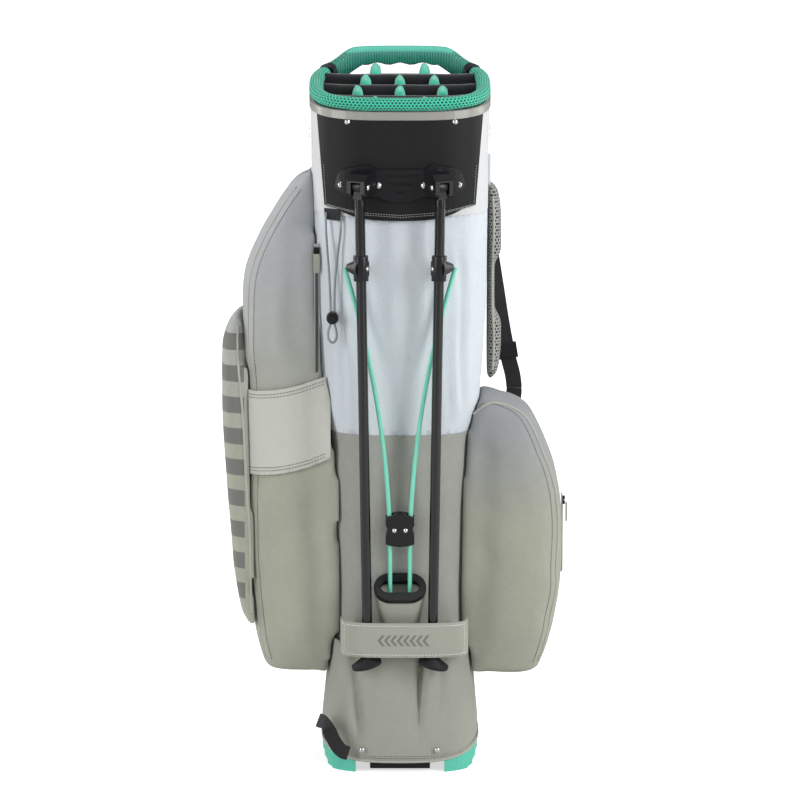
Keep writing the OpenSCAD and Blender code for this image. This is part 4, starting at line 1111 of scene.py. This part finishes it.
class BAG_OT_pockets(bpy.types.Operator):
    """Swells the three pockets, and adds their piping and seams"""
    bl_idname = "bag.pockets"
    bl_label = "Pockets"

    def execute(self, context):
        s = sizes()
        left_low, left_high = node_box("left_pocket")
        cuff_low, cuff_high = node_box("left_pocket_sleeve")
        zip_low, zip_high = node_box("left_zip")

        def hold_left(co):
            """How much the left pocket swells: less at the tube, the cuff and the zip."""
            share = fade_between(AXIS.x - co.x, 0.085, 0.125)
            share *= 1 - 0.85 * fade_between(co.z, cuff_low.z - 0.03, cuff_low.z) * (
                1 - fade_between(co.z, cuff_high.z, cuff_high.z + 0.03))
            if zip_low.z - 0.02 < co.z < zip_high.z + 0.02 and abs(co.x - zip_low.x) < 0.02 and co.y < AXIS.y:
                share *= 0.1
            return share

        left = padded_piece("left_pocket_cloth", "left_pocket", "pocket cloth", s.cloth_voxel,
                            s.pocket_swell, shrink=1.0 * MM, wrinkle=1.2 * MM, wrinkle_scale=14,
                            stretch=(1, 1, 0.6), hold=hold_left)

        outer_low, outer_high = node_box("left_outer_pocket")

        def hold_outer(co):
            """The outer pocket swells away from the pocket that it is sewn to."""
            return fade_between(left_low.x + 0.004 - co.x, -0.002, 0.012)

        outer = padded_piece("left_outer_pocket_cloth", "left_outer_pocket", "outer pocket cloth",
                             s.cloth_voxel, s.pocket_swell * 0.7, shrink=0.8 * MM,
                             wrinkle=1.0 * MM, wrinkle_scale=16, hold=hold_outer)
        right_zip_low, right_zip_high = node_box("right_zip")

        def hold_right(co):
            """How much the right pocket swells: less at the tube and the zip."""
            share = fade_between(co.x - AXIS.x, 0.085, 0.125)
            if co.x > right_zip_low.x - 0.01 and right_zip_low.z - 0.02 < co.z < right_zip_high.z + 0.02:
                if abs(co.y - (right_zip_low.y + right_zip_high.y) / 2) < 0.02:
                    share *= 0.1
            return share

        right = padded_piece("right_pocket_cloth", "right_pocket", "right pocket cloth",
                             s.cloth_voxel, s.pocket_swell, shrink=1.0 * MM, wrinkle=1.3 * MM,
                             wrinkle_scale=13, stretch=(1, 1, 0.7), hold=hold_right)
        right_low, right_high = node_box("right_pocket")

        lines = {}
        for name, obj, low, high, side, lean in (
                ("left", left, left_low, left_high, -1, 0.5),
                ("outer", outer, outer_low, outer_high, -0.15, 1.0),
                ("right", right, right_low, right_high, 1, 0.5)):
            levels = spread(low.z + 0.018, high.z - 0.022, 44)
            for face, depth in (("front", -lean), ("back", lean)):
                line = edge_line(obj, UP, levels, Vector((side, depth, 0)).normalized(), -0.5 * MM)
                if name == "right":
                    inner, outer_x = AXIS.x + 0.088, line[-1].x - 0.006
                    top = edge_line(obj, Vector((1, 0, 0)), spread(inner, outer_x, 14),
                                    Vector((0, depth, 1)).normalized(), -0.5 * MM)
                    line = settled(surface_of(obj), line + top[::-1], rounds=1)
                lines[f"{name}_{face}"] = line
        for name, line in lines.items():
            tube(f"{name}_piping", line, s.piping_radius, "piping", slot="pocket_cloth")
        inset = []
        for name, side in (("left_front", 1), ("left_back", 1), ("right_front", -1), ("right_back", -1)):
            face = surface_of(left if side > 0 else right)
            depth = -1 if "front" in name else 1
            row = []
            for p in lines[name]:
                start = Vector((p.x + side * 7 * MM, p.y + depth * 0.05, p.z))
                place = hit(face, start, Vector((0, -depth, 0)), 0.3 * MM)
                if place is not None:
                    row.append(place)
            inset.append(row)
        stitches("pocket_stitches", inset, "dark thread")
        return {"FINISHED"}


class BAG_OT_cuff(bpy.types.Operator):
    """Wraps the elastic sleeve round the left pocket, with its sewn hems"""
    bl_idname = "bag.cuff"
    bl_label = "Pocket sleeve"

    def execute(self, context):
        low, high = node_box("left_pocket_sleeve")
        bm = node_bmesh("left_pocket_sleeve")
        for axis, size in ((Vector((1, 0, 0)), 7), (Vector((0, 1, 0)), 7), (UP, 6)):
            slice_mesh(bm, axis, size * MM)
        stop = AXIS + Vector((-88 * MM, 0, 0))
        cut = bmesh.ops.bisect_plane(bm, geom=bm.verts[:] + bm.edges[:] + bm.faces[:], dist=0.0001 * MM,
                                     plane_co=stop, plane_no=(1, 0, 0), clear_outer=True)
        bmesh.ops.holes_fill(bm, edges=[e for e in cut["geom_cut"] if isinstance(e, bmesh.types.BMEdge)])
        centre = Vector(((low.x + stop.x) / 2, (low.y + high.y) / 2, 0))
        for v in bm.verts:
            way = Vector((v.co.x - centre.x, (v.co.y - centre.y) * 1.4, 0))
            if way.length > 0.02:
                edge = bump_at(v.co.z, high.z - 0.008, 0.004)
                slack = 0.8 * ripple(Vector((v.co.x, v.co.y, v.co.z * 0.6)), 26)
                v.co += way.normalized() * MM * (1.6 + slack - 0.7 * edge)
        cuff = piece("pocket_sleeve_cloth", bm, "cuff cloth", sharp=40, slot="band_cloth",
                     replaced=("left_pocket_sleeve",))
        box_uv(cuff.data)
        surface = surface_of(cuff)
        rows = []
        columns = spread(low.x + 0.004, stop.x - 0.003, 60)
        for upper in (True, False):
            way = Vector((0, -0.35, 1 if upper else -1)).normalized()
            hem = edge_line(cuff, Vector((1, 0, 0)), columns, way)
            for inset in (5, 9):
                drop = UP * (-inset if upper else inset) * MM
                found = [hit(surface, p + drop + FRONT * 0.1, -FRONT, 0.2 * MM) for p in hem]
                rows.append([p for p in found if p is not None])
        stitches("pocket_sleeve_stitches", rows, "dark thread")
        return {"FINISHED"}


RIM_RISE = 0.1              # of the rim's height per metre towards the back
RIM_SIDE, RIM_FRONT, RIM_BACK = 105 * MM, 106.5 * MM, 104 * MM      # from the axis to the padding's middle
RIM_LEVEL = 0.852           # of the padding's middle at the front
RIM_ROUND, RIM_ROLL = 0.118, 0.0106     # radii that give the mesh its scale


def rim_uv(mesh):
    """UVs in metres: along the rim, and round its padding."""
    layer = mesh.uv_layers["UVMap"]
    for face in mesh.polygons:
        first = None
        for loop in face.loop_indices:
            co = mesh.vertices[mesh.loops[loop].vertex_index].co - AXIS
            turn = math.atan2(co.y, co.x)
            depth = RIM_FRONT if co.y < 0 else RIM_BACK
            reach = (abs(math.cos(turn) / RIM_SIDE) ** SQUARENESS
                     + abs(math.sin(turn) / depth) ** SQUARENESS) ** (-1 / SQUARENESS)
            level = RIM_LEVEL + RIM_RISE * (co.y + RIM_FRONT)
            roll = math.atan2(co.z - level, math.hypot(co.x, co.y) - reach)
            if first is None:
                first = (turn, roll)
            turn += 2 * math.pi * round((first[0] - turn) / (2 * math.pi))
            roll += 2 * math.pi * round((first[1] - roll) / (2 * math.pi))
            layer.data[loop].uv = (turn * RIM_ROUND, roll * RIM_ROLL)


class BAG_OT_rim(bpy.types.Operator):
    """Pads the rim and the club dividers"""
    bl_idname = "bag.rim"
    bl_label = "Rim and dividers"

    def execute(self, context):
        rim = padded_piece("rim_padding", "rim_cushion", "mint mesh", 4 * MM, 1.2 * MM,
                           shrink=1.0 * MM, wrinkle=0.3 * MM, wrinkle_scale=40)
        rim_uv(rim.data)
        grip = piece("lift_handle_grip", node_bmesh(GRIP), "lift handle", sharp=50, replaced=(GRIP,),
                     slot="mint_plastic")
        unrolled_uv(grip.data, 0.105)
        for name, node, material, slot in (
                ("divider_bar_padding", "divider_bars", "black lining", "black_lining"),
                ("divider_fin_padding", "divider_fins", "mint lining", "mint_fleece")):
            padded_piece(name, node, material, 4 * MM, 1.2 * MM, shrink=1.0 * MM, wrinkle=0.6 * MM,
                         wrinkle_scale=60)
        return {"FINISHED"}


class BAG_OT_pads(bpy.types.Operator):
    """Pads the shoulder strap and the hip pad"""
    bl_idname = "bag.pads"
    bl_label = "Strap and hip pads"

    def execute(self, context):
        s = sizes()
        strap = padded_piece("strap_padding", "strap_pad", "pad mesh", 4 * MM, s.pad_swell * 0.6,
                             shrink=0.8 * MM, wrinkle=0.5 * MM, wrinkle_scale=30)
        low, high = node_box("hip_pad")
        channels = [low.z + (high.z - low.z) * part for part in (0.34, 0.66)]

        def hold_hip(co):
            """The hip pad is pinched at two sewn channels."""
            share = 1.0
            for level in channels:
                share -= 0.9 * bump_at(co.z, level, 0.008)
            return max(0.0, share)

        hip = padded_piece("hip_padding", "hip_pad", "pad mesh", 5 * MM, s.pad_swell,
                           shrink=1.5 * MM, wrinkle=0.6 * MM, wrinkle_scale=30, hold=hold_hip)
        for v in hip.data.vertices:
            if v.normal.y > 0.3:
                pinch = sum(bump_at(v.co.z, level, 0.005) for level in channels)
                v.co -= v.normal * pinch * 3.0 * MM
        for obj, front in ((strap, Vector((1, 0, 0))), (hip, Vector((0, 1, 0)))):
            box = [Vector(corner) for corner in obj.bound_box]
            level = spread(min(b.z for b in box) + 0.012, max(b.z for b in box) - 0.012, 40)
            across = UP.cross(front)
            for number, side in enumerate((across, -across)):
                line = edge_line(obj, UP, level, side, -0.4 * MM)
                tube(f"{obj.name}_piping_{number + 1}", line, s.piping_radius * 0.9, "piping",
                     slot="pad_mesh")
        return {"FINISHED"}


class BAG_OT_straps(bpy.types.Operator):
    """Lays the strap's webbing and the umbrella loop at the base"""
    bl_idname = "bag.straps"
    bl_label = "Webbing"

    def execute(self, context):
        route = ((114, 85, 648), (122, 85, 601), (130, 85, 548), (139, 85, 500), (145, 85, 474),
                 (145.5, 85, 452), (138, 85, 424), (118, 85, 402), (96, 85, 380))
        ribbon("strap_tape", [at(*p) for p in route], 20 * MM, 1.6 * MM, "webbing",
               tilts=[math.pi / 2 * t for t in (0.9, 0.8, 0.9, 1, 1, 1, 1, 0.8, 0.6)],
               replaced=("strap_webbing",), slot="black_webbing")
        low, high = node_box("umbrella_loop")
        middle = (low + high) / 2
        route = [(low.x + 0.004, middle.y + 0.006, high.z - 0.004),
                 (low.x + 0.014, low.y + 0.006, high.z - 0.005),
                 (middle.x, low.y + 0.003, middle.z + 0.002),
                 (high.x - 0.010, low.y + 0.003, low.z + 0.008),
                 (high.x - 0.002, low.y + 0.006, low.z + 0.004)]
        ribbon("umbrella_loop_tape", [Vector(p) for p in route], 18 * MM, 2.0 * MM, "webbing",
               tilts=[1.2, 1.45, 1.6, 1.5, 1.35], replaced=("umbrella_loop",), slot="black_webbing")
        return {"FINISHED"}


TRIM_LEVEL = 0.828          # of the trim's middle at the front


class BAG_OT_collar(bpy.types.Operator):
    """Sews the collar's black patch and the silver trim under the rim"""
    bl_idname = "bag.collar"
    bl_label = "Collar stitching"

    def execute(self, context):
        s = sizes()
        face = surface_of(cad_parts["front_patch"])
        rows = []
        for inset in (3.0, 5.6):
            side, corner = 101 - inset, 94 - inset
            outline = [(-side + 3.5, 774), (-corner - 0.5, 725), (-46, 712 + inset * 0.9), (0, 708.5 + inset),
                       (46, 712 + inset * 0.9), (corner + 0.5, 725), (side - 3.5, 774)]
            part = outline if inset < 4 else outline[1:-1]
            rows.append(front_line(face, resampled(part, 3), 0.25 * MM))
        stitches("patch_stitches", rows, "patch thread", pitch=s.stitch_pitch * 0.8)
        trim = surface_of(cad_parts["rim_trim"])
        upper, lower = [], []
        for i in range(120):
            angle = 2 * math.pi * i / 120
            x, y = section(angle, 140, 140, 140)
            start = at(x, y, 0)
            level = TRIM_LEVEL + RIM_RISE * (start.y - AXIS.y + RIM_FRONT) * 0.78
            start.z = level
            if hit(trim, start, -outward(start)) is None:
                continue
            for line, rise in ((upper, 7.2), (lower, -6.4)):
                start.z = level + rise * MM
                near = hit(trim, start, -outward(start), 0.2 * MM)
                if near is not None:
                    line.append(near)
        rows = [line for line in (upper, lower) if len(line) > 100]
        if rows:
            stitches("trim_stitches", rows, "dark thread", cyclic=True)
        return {"FINISHED"}


class BAG_OT_lock(bpy.types.Operator):
    """Sews the leg lock's printed band, with its four hems"""
    bl_idname = "bag.lock"
    bl_label = "Leg lock"

    def execute(self, context):
        low, high = node_box("leg_lock_band")
        bm = node_bmesh("leg_lock_band")
        slice_mesh(bm, Vector((1, 0, 0)), 4 * MM)
        slice_mesh(bm, UP, 5 * MM)
        for v in bm.verts:
            share = (v.co.z - low.z) / (high.z - low.z)
            v.co.y += MM * (0.6 * ripple(v.co, 30) - 1.0 * math.sin(share * math.pi))
        band = piece("leg_lock_cloth", bm, "lock cloth", body="leg_lock", sharp=40, slot="band_cloth",
                     replaced=("leg_lock_band",))
        box_uv(band.data)
        face = surface_of(band)
        across, upward = spread(low.x + 0.004, high.x - 0.004, 60), spread(low.z + 0.004, high.z - 0.004, 20)
        hems = [[(x, z) for x in across] for z in (low.z + 3.5 * MM, high.z - 3.5 * MM)]
        hems += [[(x, z) for z in upward] for x in (low.x + 6 * MM, high.x - 6 * MM)]
        rows = []
        for hem in hems:
            found = [hit(face, Vector((x, -0.5, z)), -FRONT, 0.25 * MM) for x, z in hem]
            rows.append([p for p in found if p is not None])
        stitches("leg_lock_stitches", rows, "thread", body="leg_lock")
        return {"FINISHED"}


class BAG_OT_zips(bpy.types.Operator):
    """Sets the teeth along the two zips"""
    bl_idname = "bag.zips"
    bl_label = "Zips"

    def execute(self, context):
        for name, out in (("left_zip", FRONT), ("right_zip", Vector((1, 0, 0)))):
            low, high = node_box(name)
            middle = (low + high) / 2
            face = middle + out * abs((high - low).dot(out)) / 2
            across = UP.cross(out)
            bm = bmesh.new()
            count = int((high.z - low.z - 0.004) / 0.0022)
            for i in range(count):
                for side in (-1, 1):
                    place = Vector((face.x, face.y, low.z + 0.002 + (i + 0.25 * (side + 1)) * 0.0022))
                    place += across * side * 0.9 * MM
                    made = bmesh.ops.create_cube(bm, size=1.0, matrix=Matrix.Translation(place))
                    for v in made["verts"]:
                        way = v.co - place
                        v.co = place + out * way.dot(out) * 1.5 * MM + across * way.dot(across) * 2.2 * MM + (
                            UP * way.z * 1.2 * MM)
            piece(f"{name}_teeth", bm, "black plastic", slot="black_plastic", smooth=False)
        return {"FINISHED"}


class BAG_OT_stage(bpy.types.Operator):
    """Sets the pale floor, the white world and the soft studio lights"""
    bl_idname = "bag.stage"
    bl_label = "Stage"

    def execute(self, context):
        bm = bmesh.new()
        bmesh.ops.create_circle(bm, cap_ends=True, segments=96, radius=30.0)
        mesh = bpy.data.meshes.new("floor")
        bm.to_mesh(mesh)
        bm.free()
        if mesh.polygons[0].normal.z < 0:
            mesh.flip_normals()
        material, tree, shader, place, _ = start_material("floor paint", 0.85, Specular_IOR_Level=0.2)
        soiled = effect(tree, "Soil", Vector=place, Color=rgba(colours().floor), Amount=0.004, Scale=1.0,
                        Roughness=0.85)
        put(tree, soiled.outputs["Color"], shader.inputs["Base Color"])
        rays = tree.nodes.new("ShaderNodeLightPath")
        shader.inputs["Emission Color"].default_value = (1, 1, 1, 1)
        shadowed, clear = 0.5, 2.4
        glow = ramp(tree, vector_maths(tree, "LENGTH", place), shadowed, clear, 0.62, 1.1)
        put(tree, maths(tree, "MULTIPLY", rays.outputs["Is Camera Ray"], glow),
            shader.inputs["Emission Strength"])
        mesh.materials.append(material)
        floor = bpy.data.objects.new("floor", mesh)
        context.scene.collection.objects.link(floor)

        world = bpy.data.worlds.new("studio")
        context.scene.world = world
        world.use_nodes = True
        tree = world.node_tree
        background = tree.nodes["Background"]
        background.inputs["Color"].default_value = (1, 1, 1, 1)
        rays = tree.nodes.new("ShaderNodeLightPath")
        ambient, seen = 0.26, 0.76
        put(tree, maths(tree, "MULTIPLY_ADD", rays.outputs["Is Camera Ray"], seen, ambient),
            background.inputs["Strength"])
        context.scene.view_settings.view_transform = "Standard"
        aim = Vector((AXIS.x, AXIS.y, 0.45))
        lights = (("key", (2.9, -2.1, 1.9), 0.8, 2.6, 102),
                  ("fill", (-2.9, -2.0, 1.5), 0.9, 2.6, 64),
                  ("front", (0.3, -3.8, 2.2), 1.6, 1.6, 20),
                  ("left_edge", (-2.4, 0.9, 1.3), 0.7, 2.4, 30),
                  ("right_edge", (2.4, 0.9, 1.3), 0.7, 2.4, 30),
                  ("top", (0.2, 0.1, 3.0), 1.6, 1.6, 18))
        for name, place, width, height, power in lights:
            data = bpy.data.lights.new(name, "AREA")
            data.shape = "RECTANGLE"
            data.size, data.size_y, data.energy = width, height, power
            light = bpy.data.objects.new(name, data)
            light.location = place
            light.rotation_euler = (aim - Vector(place)).to_track_quat("-Z", "Y").to_euler()
            context.scene.collection.objects.link(light)
        return {"FINISHED"}


class BAG_PT_panel(bpy.types.Panel):
    """Lists the bag's pieces"""
    bl_idname = "BAG_PT_panel"
    bl_label = "Golf stand bag"
    bl_space_type = "VIEW_3D"
    bl_region_type = "UI"
    bl_category = "Golf Bag"

    def draw(self, context):
        layout = self.layout
        for group in (context.scene.bag_sizes, context.scene.bag_colours):
            for name in group.__annotations__:
                layout.prop(group, name)
        for operator in OPERATORS:
            layout.operator(operator.bl_idname)


OPERATORS = (BAG_OT_materials, BAG_OT_camera, BAG_OT_cord, BAG_OT_sleeve, BAG_OT_pockets, BAG_OT_cuff,
             BAG_OT_rim, BAG_OT_pads, BAG_OT_straps, BAG_OT_collar, BAG_OT_lock, BAG_OT_zips, BAG_OT_stage)
CLASSES = (BagSizes, BagColours) + OPERATORS + (BAG_PT_panel,)


def register():
    """Registers the add-on's classes and the scene's settings."""
    for made in CLASSES:
        bpy.utils.register_class(made)
    bpy.types.Scene.bag_sizes = bpy.props.PointerProperty(type=BagSizes)
    bpy.types.Scene.bag_colours = bpy.props.PointerProperty(type=BagColours)


def unregister():
    """Takes away what register added."""
    del bpy.types.Scene.bag_colours
    del bpy.types.Scene.bag_sizes
    for made in reversed(CLASSES):
        bpy.utils.unregister_class(made)


def main():
    """Makes every piece."""
    register()
    for operator in OPERATORS:
        group, name = operator.bl_idname.split(".")
        getattr(getattr(bpy.ops, group), name)()


if __name__ == "__main__":
    main()
